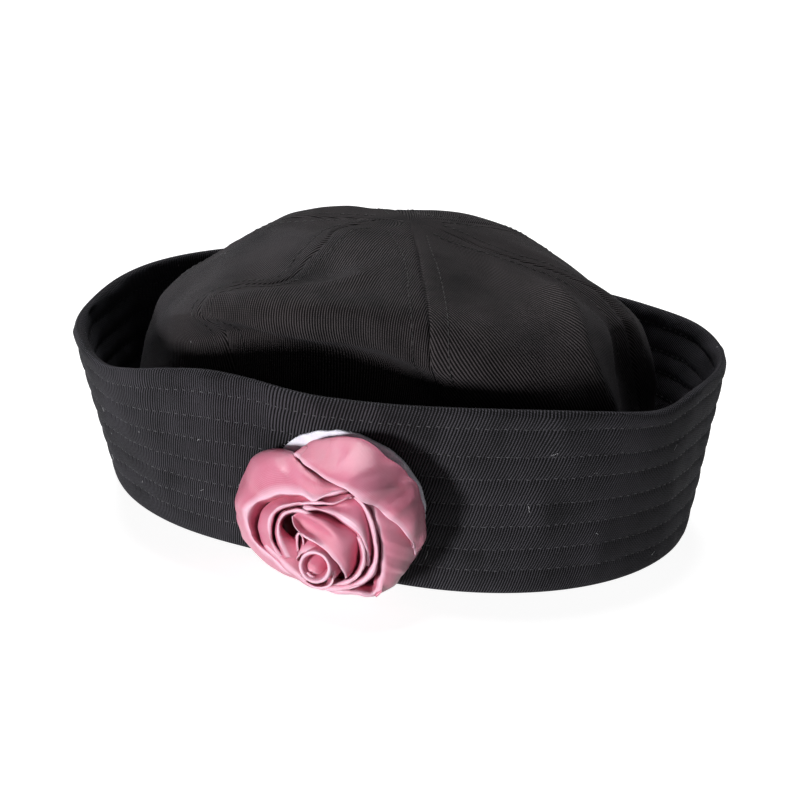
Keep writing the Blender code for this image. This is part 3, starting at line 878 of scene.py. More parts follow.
def make_felt(stations=200):
    angles = np.arange(stations) * 2 * math.pi / stations
    edge = 1 + 0.004 * ripple(angles * 30, 0 * angles, 9, 41)
    levels = [(0.55, 0), (0.9, 0), (0.985, 0.05), (1, 0.4), (1, 0.9), (1, 1.35), (0.99, 1.65)]
    levels += [(share, FELT_THICK) for share in (0.97, 0.93, 0.86, 0.78, 0.68, 0.55)]
    loops = []
    for share, height in levels:
        aside = FELT_HALF_WIDTH * share * np.cos(angles) * edge
        above = FELT_HALF_HEIGHT * share * np.sin(angles) * edge
        rough = 0.12 * ripple(aside, above, 3, 42) * (height > 1)
        loops.append(np.stack([aside, above, brim_under(aside, above) + GAP + height + rough], -1))
    loops = np.stack(loops, 1)
    across = np.array([0, 10, 13, 13.6, 14.2, 14.8, 15.2, 16, 17, 19, 21, 24, 27.0])
    around = np.linspace(0, 170, stations + 1)
    places = np.stack(np.broadcast_arrays(around[:, None], across[None]), -1)
    cloth = felt_material("white_felt", (0.86, 0.85, 0.93), (0.7, 0.68, 0.8))
    felt = grid_object("felt_disc", from_rose(loops), places, cloth, (True, False))
    close_ends(felt, stations, len(levels), (0, len(levels) - 1))
    dress(felt, "rose_felt")
    chance = np.random.default_rng(43)
    lines = []
    for _ in range(420):
        angle, share = chance.uniform(0, 2 * math.pi), chance.choice([0.985, 0.93])
        wide, high = FELT_HALF_WIDTH * share, FELT_HALF_HEIGHT * share
        start = np.array([wide * math.cos(angle), high * math.sin(angle)])
        level = float(brim_under(start[0], start[1])) + GAP + 1.5
        outward = np.array([math.cos(angle), math.sin(angle), chance.uniform(0, 0.7)])
        swirl = chance.normal(0, 0.35, 3)
        t = np.linspace(0, chance.uniform(0.3, 0.8), 4)[:, None]
        lines.append(from_rose(np.array([*start, level]) + outward * t + swirl * t**2))
    fuzz = fibre_object("felt_fibres", lines, 0.06, cloth)
    dress(fuzz)


def close_ends(thing, stations, rows, which):
    """Fills the first and last loop of a grid that wraps round, each with one flat face."""
    work = bmesh.new()
    work.from_mesh(thing.data)
    work.verts.ensure_lookup_table()
    for row in which:
        ring = [work.verts[i * rows + row] for i in range(stations)]
        work.faces.new(ring if row else ring[::-1])
    bmesh.ops.recalc_face_normals(work, faces=work.faces)
    work.to_mesh(thing.data)
    work.free()


def through(stations, places):
    """A smooth curve through stations of knots, read at places from 0 at the first to 1 at the last,
    measured along the second knot, the lip."""
    steps = np.maximum(np.linalg.norm(np.diff(stations[:, 1], axis=0), axis=1), 0.2) ** 0.9
    where = np.concatenate([[0], np.cumsum(steps)]) / np.sum(steps)
    slopes = np.zeros_like(stations)
    gaps = np.diff(where)[:, None, None]
    chords = np.diff(stations, axis=0) / gaps
    slopes[1:-1] = (chords[:-1] * gaps[1:] + chords[1:] * gaps[:-1]) / (gaps[:-1] + gaps[1:])
    slopes[0], slopes[-1] = chords[0], chords[-1]
    before = np.clip(np.searchsorted(where, places, side="right") - 1, 0, len(where) - 2)
    gap = gaps[before]
    u = (places[:, None, None] - where[before][:, None, None]) / gap
    after = before + 1
    return hermite(u, stations[before], slopes[before] * gap, stations[after], slopes[after] * gap)


def section(knots, fold, rows):
    """Across a petal: up its inner face, over the rounded fold at its lip and down its outer face.
    knots holds station by knot: the inner foot, the lip, then the knots of the outer face."""
    inner, lip = knots[:, 0], knots[:, 1]
    into, outof = unit(inner - lip), unit(knots[:, 2] - lip)
    bisector = unit(into + outof)
    aside = unit(outof - into)
    spread = np.arccos(np.clip(np.sum(bisector * outof, -1), -1, 1))
    centre = lip + bisector * fold
    line = [inner, inner * 0.5 + (centre - aside * fold) * 0.5]
    for part in (-1, -0.5, 0, 0.5, 1):
        turn = part * (math.pi / 2 - spread * 0.8)
        line.append(centre - (bisector * np.cos(turn)[:, None] - aside * np.sin(turn)[:, None]) * fold)
    line += [knots[:, k] for k in range(2, knots.shape[1])]
    line = np.stack(line, 1)
    places = np.concatenate([k + np.arange(count) / count for k, count in enumerate(rows)] + [[len(rows)]])
    ends = np.concatenate([2 * line[:, :1] - line[:, 1:2], line, 2 * line[:, -1:] - line[:, -2:-1]], 1)
    before = np.minimum(places.astype(int), line.shape[1] - 2)
    u = (places - before)[None, :, None]
    a, b, c, d = (ends[:, before + i] for i in range(4))
    # a curve whose bends tighten with the spacing of its knots, so that the fold doesn't overshoot
    def span(p, q):
        return np.maximum(np.linalg.norm(q - p, axis=-1, keepdims=True), 1e-3) ** 0.5

    t1, t2, t3 = span(a, b), span(b, c), span(c, d)
    m1 = (b - a) / t1 - (c - a) / (t1 + t2) + (c - b) / t2
    m2 = (c - b) / t2 - (d - b) / (t2 + t3) + (d - c) / t3
    return hermite(u, b, m1 * t2, c, m2 * t2)


def one_turn(smooth, start):
    """Keeps one whole turn round the bud, from start on, out of a closed strip's overlapping ends."""
    lap = np.unwrap(np.arctan2(smooth[:, 1, 1] - BUD_ABOVE, smooth[:, 1, 0] - BUD_ASIDE))
    first = np.arctan2(start[1] - BUD_ABOVE, start[0] - BUD_ASIDE)
    way, count = np.sign(lap[-1] - lap[0]), len(smooth)
    offset = (first - lap[0]) * way % (2 * math.pi)
    target = lap[0] + way * (offset + np.arange(count) / count * 2 * math.pi)
    order = np.argsort(lap * way)
    lines = smooth[order].reshape(count, -1).T
    turned = [np.interp(target * way, (lap * way)[order], line) for line in lines]
    return np.stack(turned, -1).reshape(smooth.shape)


def petal(name, knots, fold, material, node, wrinkle, seed, closed=False, creases=()):
    """One fold of ribbon through stations of knots: the inner foot, the lip and the outer face."""
    knots = np.array(knots, float).reshape(len(knots), -1, 3)
    if closed:
        knots = np.concatenate([knots[-2:], knots, knots[:3]])
    count = max(int(along_lengths(knots[:, 1])[-1] / RIBBON_STEP), 24)
    smooth = through(knots, np.linspace(0, 1, count))
    if closed:
        smooth = one_turn(smooth, knots[2, 1])
    grid = section(smooth, fold, (4, 3, 2, 2, 2, 2, 3) + (5,) * (knots.shape[1] - 3))
    length, across = along_lengths(smooth[:, 1]), along_lengths(grid.mean(0))
    across -= across[LIP_ROW]  # counted from the lip, down the outer face
    x, y = length[:, None], across[None]
    around = np.roll(grid, -1, 0) - np.roll(grid, 1, 0) if closed else np.gradient(grid, axis=0)
    normals = unit(np.cross(around, np.gradient(grid, axis=1)))
    middle = np.array([BUD_ASIDE, BUD_ABOVE, 10.0])
    if np.mean(np.sum(normals[:, FACE_ROW] * (grid[:, FACE_ROW] - middle), -1)) < 0:
        normals = -normals
    if closed:
        phase = x / length[-1] * 2 * math.pi
        waves = sum(np.sin(phase * m + y * 0.12 * m + seed * m) / m**0.5 for m in (3, 5, 8, 13))
        rise = wrinkle * 0.6 * waves
    else:
        rise = wrinkle * (ripple(x, y * 0.25, 6, seed) * 0.6 + ripple(x, y * 0.5, 14, seed + 50) * 0.9)
    for start, width, height, slant in creases:
        away = x - start * length[-1] - slant * y
        fade = np.clip(y / 2, 0, 1) * np.clip((across[-1] - 5 - y) / 7, 0.06, 1)
        rise = rise + height * np.exp(-((away / width) ** 2)) * fade
    grid = grid + normals * rise[..., None]
    places = np.stack(np.broadcast_arrays(x, y), -1)
    if closed:
        places = np.concatenate([places, places[:1] + [length[-1] + RIBBON_STEP, 0]])
    flip = np.sum(np.cross(around, np.gradient(grid, axis=1))[:, FACE_ROW] * normals[:, FACE_ROW]) < 0
    made = grid_object(name, from_rose(grid), places, material, (closed, False), flip)
    thicken(made, RIBBON_THICK)
    dress(made, node)


# The rose's strips of ribbon. Each row is one station along a strip. It gives how far aside, above and out
# from the rose's middle its inner foot, its lip and each knot down its outer face lie, in that order.
# Their places were chosen in the photograph, and were worked out in millimetres from there.
# fmt: off
BUD_RING = (
    (7, -6.8, 25, 8.8, -6.4, 34.1, 9.6, -6.2, 33.2, 9.8, -6.2, 25, 9.6, -6.2, 14),
    (5.9, -4.7, 25, 7, -3.1, 33.9, 7.4, -2.5, 33, 7.5, -2.3, 25, 7.4, -2.5, 14),
    (3.4, -4.4, 25, 3.2, -2.5, 33.7, 3.2, -1.7, 32.8, 3.1, -1.5, 25, 3.2, -1.7, 14),
    (1.4, -5.9, 25, -0.2, -4.8, 33.7, -0.8, -4.4, 32.8, -1, -4.2, 25, -0.8, -4.3, 14),
    (0.6, -8.3, 25, -1.2, -8.8, 33.9, -2, -8.9, 33, -2.2, -9, 25, -2, -9, 14),
    (1.7, -10.5, 25, 0.6, -12, 34.1, 0.2, -12.6, 33.2, 0.1, -12.8, 25, 0.2, -12.7, 14),
    (4.1, -10.8, 25, 4.4, -12.7, 34.3, 4.4, -13.4, 33.4, 4.5, -13.7, 25, 4.4, -13.5, 14),
    (6.2, -9.3, 25, 7.7, -10.3, 34.3, 8.4, -10.8, 33.4, 8.6, -10.9, 25, 8.4, -10.8, 14),
)
BUD_ROLL = (
    (-5, -14.6, 26, -3.2, -11.4, 29, -2.9, -9.4, 29.4, -2.9, -8.3, 28.6, -3, -7.9, 27),
    (-3.8, -15.3, 27, -1.6, -11.7, 30.6, -0.9, -9.4, 31, -0.4, -7.4, 30, -0.5, -6.4, 28),
    (-1.9, -15.3, 28, 0.4, -11.5, 31.6, 1.3, -9.1, 31.6, 1.7, -7.2, 30, 1.7, -5.8, 28),
    (-0.3, -15.6, 28, 2, -12, 31.6, 3.2, -9.7, 31.4, 3.7, -7.7, 29.6, 3.8, -6.2, 27.6),
    (1.6, -15.7, 28, 3.3, -13.2, 30.4, 4.5, -11, 30.2, 5.1, -9.1, 28.6, 5.1, -7.5, 27),
    (3.2, -15.8, 27, 4.5, -13.9, 28.8, 5.3, -12.2, 28.4, 5.6, -10.5, 27.6, 5.3, -9.4, 26),
)
BUD_HOOK = (
    (-4.9, -15.8, 25, -2, -12.5, 31.5, -2.5, -13.5, 31, -4.4, -16.6, 27),
    (-3.8, -15.8, 25, -0.3, -11.2, 32.6, -1, -12.2, 32, -3, -15.8, 28),
    (-2.7, -16.1, 25, 1.1, -10.7, 33, 0.5, -11.9, 32.4, -1.7, -15.9, 28),
    (-1.6, -16.8, 25, 2.2, -11.4, 33, 1.4, -12.6, 32.2, -0.8, -16.4, 28),
    (-0.2, -17.1, 25, 3.2, -12.1, 32.4, 2.4, -13.3, 31.8, 0.3, -16.6, 28),
    (1.3, -17.1, 25, 4.2, -12.7, 31.6, 3.4, -13.8, 31, 1.3, -17.2, 27),
)
BUD_TURN = (
    (2, -10.4, 22, 6.8, -6, 30.6, 7.1, -6, 30, 4.6, -9.7, 24),
    (2.7, -12.3, 22, 8.3, -7.2, 31.2, 8.5, -7.2, 30.6, 5.7, -11.3, 24),
    (3.4, -14.8, 22, 9.1, -9.3, 31.4, 9.3, -9.5, 30.8, 6.4, -13.8, 24),
    (3.2, -17.4, 22, 9.2, -11.9, 31.4, 9.4, -12.4, 30.8, 6.5, -16.7, 24),
    (2.3, -19.3, 22, 7.9, -14.6, 31.2, 8, -15.4, 30.6, 5.1, -19.6, 24),
    (0.3, -20.4, 22, 5.3, -16.4, 30.8, 5.1, -17.3, 30.2, 2.3, -21.2, 24),
    (-2.6, -21, 22, 1.6, -17.4, 30, 1.3, -18.3, 29.4, -1.3, -21.8, 24),
    (-4.8, -20.4, 22, -1.6, -17.1, 29, -2.1, -18, 28.4, -4.3, -21, 24),
)
BUD_WRAP = (
    (-5.8, -4.7, 25, -4.5, -8.3, 29.4, -5.3, -9.9, 28, -8.8, -15.8, 20),
    (-4.4, -1.7, 27, -2.6, -5.4, 30.8, -3.3, -6.9, 29.6, -7.4, -14, 20),
    (-2.1, -0.5, 28, 0.1, -3.5, 31.4, -0.5, -5.2, 30, -5, -12.7, 20),
    (0.7, -0.7, 28.6, 2.8, -2.7, 31.6, 2.1, -4.6, 30, -2.4, -12.1, 20),
    (3.4, -1.7, 28.8, 5.4, -3, 31.6, 4.5, -4.8, 30, -0.4, -12.4, 20),
    (5.9, -3.5, 28.6, 7.5, -4.5, 31.4, 6.3, -6.4, 29.8, 1.2, -14, 20),
    (7.9, -5.9, 28.2, 8.6, -7.2, 31, 7.2, -9.2, 29.2, 2.3, -16, 20),
    (9.3, -8.7, 27.4, 9, -10, 30.4, 7.5, -11.7, 28.6, 2.7, -17.8, 20),
    (9.9, -11.7, 26.2, 8.9, -13.1, 29.6, 7.4, -14.4, 28, 3, -19.6, 20),
)
SMALL_FOLD = (
    (-4.8, -6.1, 24, -2.3, -2.6, 29.6, -2.1, -2.7, 29.2, -3.7, -5.5, 25),
    (-4.9, -4.3, 24, -1.8, 0, 31, -1.6, -0.1, 30.6, -3.8, -3.9, 25),
    (-5.4, -3, 24, -1.8, 1.9, 31.8, -1.6, 2.1, 31.4, -4, -2, 25),
    (-6.1, -3.1, 24, -2.4, 2.7, 32, -2.6, 3, 31.6, -5.4, -0.7, 25),
    (-6.5, -3.5, 24, -3.1, 1.6, 31.8, -3.7, 1.6, 31.4, -7.1, -2.6, 25),
    (-6.6, -5, 24, -3.4, -0.4, 31.4, -4.1, -0.7, 31, -7.4, -4.7, 25),
    (-6.5, -6.9, 24, -3.7, -2.7, 30.8, -4.3, -3.1, 30.4, -7.4, -6.7, 25),
    (-6.2, -8.7, 24, -3.8, -5.1, 30, -4.4, -5.6, 29.6, -7.1, -8.8, 25),
)
FACE = (
    (-11.1, 0.1, 18, -6.3, 6.9, 29.4, -5.7, 7.2, 29, -4.6, 8.1, 29.4, -3.2, 9.3, 29.8, -2.8, 9.2, 28.4,
     -3.8, 7.7, 25, -4.5, 7.3, 23),
    (-10.8, -2.5, 18, -5.5, 5.5, 30.6, -5, 5.2, 28.8, -3.8, 6, 28.2, -1.2, 8.8, 30.2, -0.3, 9.4, 29.4,
     -1.6, 7.6, 25, -2.3, 7.4, 23),
    (-9.3, -5, 18, -3.7, 3.6, 31.4, -3.4, 3.4, 28.8, -1.6, 5, 28.2, 1.6, 8.5, 30.8, 2.5, 9.2, 29.8,
     1.3, 7.5, 25.4, 0.6, 7.6, 23),
    (-7.3, -6.3, 18, -1.3, 2.5, 32, -0.9, 2.6, 29.4, 1.1, 4.5, 28.8, 4.5, 7.9, 31.2, 5.7, 8.8, 30.2,
     4.9, 7.2, 25.8, 4, 7.2, 23),
    (-4.7, -7.4, 18, 1.5, 1.5, 32.2, 2, 1.9, 30, 3.8, 3.6, 29.4, 7.1, 6.7, 31.4, 8.5, 7.4, 30,
     8.3, 6.5, 26.4, 7.2, 6.2, 23),
    (-2.2, -8.4, 18, 4.1, 0.4, 32.2, 5.1, 1.3, 31, 6.7, 2.9, 30.6, 9.2, 5.2, 31.2, 10.8, 5.8, 29.4,
     11.5, 6, 26.6, 10.2, 5.4, 23),
    (0.4, -9.9, 18, 6.7, -1.1, 32.2, 7.8, 0.1, 31.8, 9.3, 1.6, 31.4, 11.2, 3.1, 30.8, 12.9, 3.7, 28.6,
     13.9, 4.2, 26, 13.2, 4.3, 23),
    (2.7, -11.8, 18, 8.9, -3.1, 32, 9.9, -2.1, 31.7, 11.2, -0.7, 31.3, 12.7, 0.4, 30.2, 14.3, 1.1, 27.8,
     15.2, 1.2, 25, 14.2, 1, 22),
    (4.7, -13.7, 18, 10.7, -5.3, 31.6, 11.5, -4.5, 31.3, 12.7, -3.4, 30.7, 13.8, -2.5, 29.4,
     14.8, -2.4, 26.8, 14.9, -3.2, 23.6, 13.5, -4.5, 20),
    (6.4, -15.7, 18, 12.1, -7.8, 30.8, 12.7, -7.3, 30.4, 13.5, -6.6, 29.7, 14.1, -6.2, 28.2, 14.6, -6.3, 26,
     14.1, -7.7, 22.6, 12.6, -8.9, 19),
    (7.4, -17.4, 18, 12.7, -10.3, 29.6, 13.1, -10, 29.2, 13.4, -9.7, 28.4, 13.7, -9.7, 27, 13.8, -10, 25,
     13.2, -11.4, 22, 11.4, -13.1, 18),
    (7.8, -18.8, 18, 12.4, -12.7, 28, 12.6, -12.5, 27.6, 12.8, -12.5, 26.8, 12.8, -12.7, 25.6,
     12.7, -13.1, 24, 12.1, -14.4, 21.4, 10.5, -15.8, 18),
)
INNER_LEFT = (
    (-6.4, -11.3, 25, -9.3, -11, 25.8, -10.1, -11.6, 25.4, -11.1, -12.5, 24.6, -16.1, -19.1, 14),
    (-5.9, -8.1, 25.8, -9.8, -7.7, 27.8, -10.6, -8.3, 27.4, -12.2, -9.9, 25.6, -17.6, -17, 14),
    (-6.1, -5.2, 26, -10.3, -4.3, 29.4, -11.2, -4.8, 28.8, -13.5, -7, 25.6, -19, -14.3, 14),
    (-7.6, -3.6, 25.2, -10.8, -1.7, 29.8, -11.7, -2.2, 29.2, -14.1, -4.6, 25.4, -19.4, -11.6, 14),
    (-10.3, -3.2, 24, -11, 1, 30, -11.8, 0.6, 29.4, -14.4, -2, 25.2, -19.6, -8.8, 14),
    (-13.2, -2.3, 22, -10.7, 3.5, 30, -11.5, 3.3, 29.4, -14.2, 0.8, 25, -19.3, -5.8, 14),
    (-15.7, -3.5, 16, -9.8, 5.9, 30, -10.5, 5.9, 29.4, -13.1, 3.6, 25, -18.1, -3, 14),
    (-14.5, -1.9, 16, -8.5, 7.6, 30, -9.2, 7.7, 29.4, -11.6, 5.6, 25, -16.6, -0.9, 14),
    (-12.7, -0.9, 16, -6.4, 8.9, 30, -6.8, 9.1, 29.4, -8.9, 7.1, 25, -13.9, 0.6, 14),
    (-9.6, 0.8, 18, -4.1, 9.7, 30, -4.3, 9.9, 29.4, -6.1, 7.9, 25, -11, 1.5, 14),
    (-5.5, 3.1, 22, -2, 9.7, 29.8, -2, 10, 29.2, -3.4, 8.1, 25, -8.4, 1.7, 14),
    (-2, 4.3, 25, -0.1, 8.9, 29.2, 0, 9.1, 28.6, -1.1, 7.5, 25, -6.1, 1, 14),
    (0.7, 4.2, 26, 1.7, 7.3, 28, 1.7, 7.4, 27.4, 0.7, 6.1, 24.6, -3.9, 0, 14),
)
INNER_TOP = (
    (-8.1, 2.6, 18, -4.7, 8, 26, -4.7, 8.1, 25.6, -4.9, 7.8, 24.6, -5.5, 7, 23, -9.6, 1.8, 14),
    (-6.6, 2.8, 18, -2.3, 10.3, 28.4, -2.3, 10.5, 28, -2.6, 10.3, 26.8, -5.5, 6.5, 22, -8.2, 3.1, 14),
    (-3.7, 3, 18, 1, 11, 28.8, 1.2, 11.3, 28.4, 1.1, 11.2, 27.2, -1.9, 7.4, 22, -4.6, 3.9, 14),
    (-1.2, 3, 18, 3.9, 11.2, 29, 4.3, 11.7, 28.6, 4.5, 12, 27.2, 1.7, 8.3, 22, -0.9, 4.8, 14),
    (1.4, 2.4, 18, 6.6, 10.9, 29, 7.1, 11.7, 28.6, 7.7, 12.4, 27, 8.3, 13, 25.4, 8.6, 13.3, 14),
    (3.9, 1.6, 18, 9.3, 10.3, 29, 10.1, 11.3, 28.6, 11, 12.4, 27, 12.6, 14.5, 24.8, 12.9, 14.8, 14),
    (6.5, 0.5, 18, 12, 9.3, 29, 12.9, 10.5, 28.6, 14.1, 12, 27, 15.4, 13.7, 24.4, 15.7, 14, 14),
    (8.8, -0.8, 18, 14.6, 7.9, 29, 15.6, 9.2, 28.6, 16.7, 10.7, 27, 17.4, 11.5, 24, 17.7, 11.8, 14),
    (10.9, -2.6, 18, 16.8, 6.1, 28.9, 17.7, 7.1, 28.4, 18.4, 8.1, 26.6, 18.5, 8, 23.4, 18.8, 8.3, 14),
    (12.3, -5, 18, 18.5, 3.5, 28.6, 19.1, 4.1, 28, 19.3, 4.3, 26, 18.9, 3.5, 22.8, 19.2, 3.8, 14),
    (13.2, -7.8, 18, 19.4, 0.2, 27.8, 19.7, 0.4, 27.2, 19.5, -0.1, 25, 18.9, -1.3, 22, 19.2, -1, 14),
    (13.6, -10.7, 18, 19.5, -3.7, 26.6, 19.7, -3.8, 26, 19.3, -4.7, 23.8, 18.4, -6.1, 21, 18.7, -5.8, 14),
    (13.4, -13.8, 18, 18.6, -8.1, 25, 18.7, -8.3, 24.4, 18, -9.7, 22, 17.3, -10.9, 20, 17.6, -10.6, 14),
)
INNER_RIGHT = (
    (9.6, -4.7, 16, 13.4, 0.7, 22.4, 13.6, 0.7, 22, 13.5, 0.4, 21, 10.4, -3.8, 14),
    (10.9, -5.3, 18, 16.7, 3, 27.6, 17, 3.1, 27.2, 16.6, 2.3, 25, 11.8, -4.2, 14),
    (11.6, -7.8, 18, 18.2, 0.5, 28.2, 18.6, 0.6, 27.8, 17.9, -0.6, 25, 13.1, -7.2, 14),
    (11.8, -10.7, 18, 18.8, -2.7, 28.4, 19.1, -2.7, 28, 18.4, -4.3, 25, 13.4, -11, 14),
    (11.4, -13.7, 18, 18.4, -6.2, 28.4, 18.7, -6.4, 28, 17.9, -8.3, 25, 13, -15, 14),
    (10, -16.4, 18, 16.9, -9.6, 28.4, 17.1, -10.1, 28, 16.3, -12.3, 25, 11.2, -19, 14),
    (8.1, -18.4, 18, 14.4, -12.6, 28.2, 14.5, -13.3, 27.8, 13.5, -15.6, 25, 8.5, -22.3, 14),
    (5.9, -19.4, 18, 11.4, -14.6, 28, 11.2, -15.4, 27.6, 10.1, -17.7, 25, 5, -24.4, 14),
    (4.5, -19.3, 18, 8.9, -15.4, 28, 8.5, -16.3, 27.6, 7, -18.6, 25, 2, -25.3, 14),
    (3.7, -18.4, 18, 6.4, -16.1, 27.4, 5.9, -17, 27, 4.5, -19, 25, -0.5, -25.7, 14),
)
MIDDLE_LEFT = (
    (-12.7, -16.3, 20, -12.2, -11.4, 25.4, -12.8, -12.1, 25, -14.3, -13.7, 23.6, -16.2, -16, 21,
     -20.3, -21.3, 12),
    (-16.7, -15.3, 16, -13.4, -8.3, 26.8, -14.2, -8.9, 26.4, -16.2, -10.7, 24.6, -18.9, -13.2, 21.6,
     -23.2, -18.9, 12),
    (-19.1, -13.2, 14, -14.4, -5.8, 27.4, -15.2, -6.2, 27, -17.3, -7.7, 25.4, -20.5, -10.3, 22.4,
     -25.7, -16.6, 12),
    (-19.8, -9.9, 14, -14.9, -2.3, 27.8, -15.7, -2.7, 27.4, -18, -4.1, 25.8, -21.4, -6.4, 22.8,
     -26.7, -13, 12),
    (-19.9, -6.8, 14, -14.9, 1.4, 28, -15.7, 1.1, 27.6, -18.1, -0.2, 25.8, -21.4, -2.2, 22.8,
     -26.6, -8.7, 12),
    (-19.1, -3.9, 14, -14, 4.7, 28, -14.7, 4.7, 27.6, -17.1, 3.8, 25.4, -20.2, 2.5, 22.4, -25.1, -3.7, 12),
    (-17.6, -1.7, 14, -12.1, 7.3, 28, -12.6, 7.5, 27.6, -14.9, 7, 25, -17.6, 5.9, 21.6, -22, 0.3, 12),
    (-15.4, -0.3, 14, -9.4, 9.2, 28, -9.8, 9.4, 27.6, -11.7, 9, 24.6, -14, 8.2, 21, -18.1, 2.9, 12),
    (-12.5, 0.8, 14, -6.2, 10.5, 28, -6.5, 10.7, 27.5, -8.1, 10.3, 24.4, -10, 9.6, 20.6, -13.9, 4.6, 12),
    (-9.2, 1.8, 14, -2.8, 11.6, 28, -3, 11.8, 27.5, -4.3, 11.4, 24.4, -6, 10.6, 20.6, -9.8, 5.6, 12),
    (-5.5, 2.7, 14, 0.8, 12.6, 28, 0.8, 12.8, 27.5, -0.3, 12.4, 24.6, -1.8, 11.6, 21, -5.7, 6.4, 12),
    (-1.9, 3.4, 14, 4.5, 13.3, 28, 4.6, 13.6, 27.5, 3.9, 13.4, 25, 2.7, 12.6, 21.6, -1.5, 7.1, 12),
    (1.4, 4, 14, 7.5, 13.7, 27.8, 7.8, 14.2, 27.4, 7.6, 14.4, 25.6, 6.8, 14, 22.6, 2.1, 7.9, 12),
    (6.7, 9, 20, 9.7, 14.9, 27.4, 10.1, 15.2, 27, 10.6, 16, 26.2, 10.9, 16.8, 25, 8, 13, 18),
    (8.7, 10.5, 20, 11.4, 15.9, 26.8, 11.8, 16.1, 26.4, 12.4, 16.7, 25.8, 12.7, 17.2, 24.8, 9.8, 13.4, 18),
    (9.8, 10.5, 18, 12.7, 16, 25.2, 13.1, 16.1, 25, 13.6, 16.4, 24.4, 13.8, 16.5, 23.4, 10.5, 12.2, 16),
)
MIDDLE_RIGHT = (
    (8, 7.6, 14, 13.8, 16.2, 24.8, 14.1, 16.3, 24.4, 14, 15.8, 23, 9.1, 9.3, 12),
    (9.3, 6.5, 14, 15.7, 15.5, 25.6, 16.1, 15.7, 25.2, 16, 15.2, 23.4, 11, 8.4, 12),
    (10.7, 4.5, 14, 17.9, 13.7, 26, 18.4, 13.9, 25.6, 18.3, 13.1, 23.4, 13, 6.3, 12),
    (12.1, 1.5, 14, 19.6, 10.4, 26, 20.2, 10.5, 25.6, 20.1, 9.6, 23.4, 14.6, 2.7, 12),
    (13, -1.9, 14, 20.9, 6.4, 26, 21.4, 6.5, 25.6, 21.2, 5.4, 23.4, 15.8, -1.5, 12),
    (13.4, -5.8, 14, 21.6, 2, 26, 22.2, 2, 25.6, 22, 0.8, 23.4, 16.5, -6.2, 12),
    (13.4, -10.1, 14, 21.9, -2.5, 26, 22.5, -2.7, 25.6, 22.2, -4.1, 23.4, 16.8, -11.1, 12),
    (12.6, -14.1, 14, 21.2, -7.2, 26, 21.8, -7.7, 25.6, 21.4, -9.2, 23.4, 16, -16.2, 12),
    (10.5, -17.4, 14, 19.1, -11.5, 26, 19.5, -12.3, 25.6, 19, -14.1, 23.4, 13.5, -21.1, 12),
    (7.7, -20.1, 14, 15.3, -15.2, 26, 15.3, -16.1, 25.6, 14.6, -18, 23.6, 9.3, -25.1, 12),
    (4.7, -21.9, 14, 11, -17.5, 26, 10.8, -18.4, 25.6, 10, -20.1, 23.8, 4.6, -27.3, 12),
    (2.3, -22.5, 16, 6.4, -18.8, 26, 6, -19.7, 25.6, 5.1, -21.1, 24, -0.3, -28.5, 12),
    (0.1, -22, 20, 1.8, -19.7, 26, 1.3, -20.5, 25.6, 0.3, -21.9, 24, -5.2, -29.2, 12),
    (-2.1, -17, 25, -1.9, -19.1, 26.4, -2.6, -20, 26, -3.8, -21.5, 24.2, -9.4, -29, 12),
    (-5.5, -13.5, 24.6, -5.1, -17, 26.6, -5.7, -17.8, 26.2, -7, -19.5, 24.4, -12.7, -27, 12),
    (-7, -10.6, 24.4, -8.8, -14.9, 26.4, -9.4, -15.7, 26, -10.7, -17.3, 24.2, -16.3, -24.8, 12),
    (-9.9, -9.5, 24.4, -12.3, -12.8, 26, -13, -13.5, 25.6, -14.4, -15.2, 23.8, -19.7, -22.4, 12),
    (-13.2, -7.9, 24.4, -15.5, -10.6, 25.4, -16.2, -11.3, 25, -17.7, -13, 23, -22.7, -19.8, 12),
    (-17, -6.8, 24, -18.6, -9.3, 24.2, -19.2, -9.9, 23.8, -20.7, -11.7, 21.8, -25.1, -17.6, 12),
)
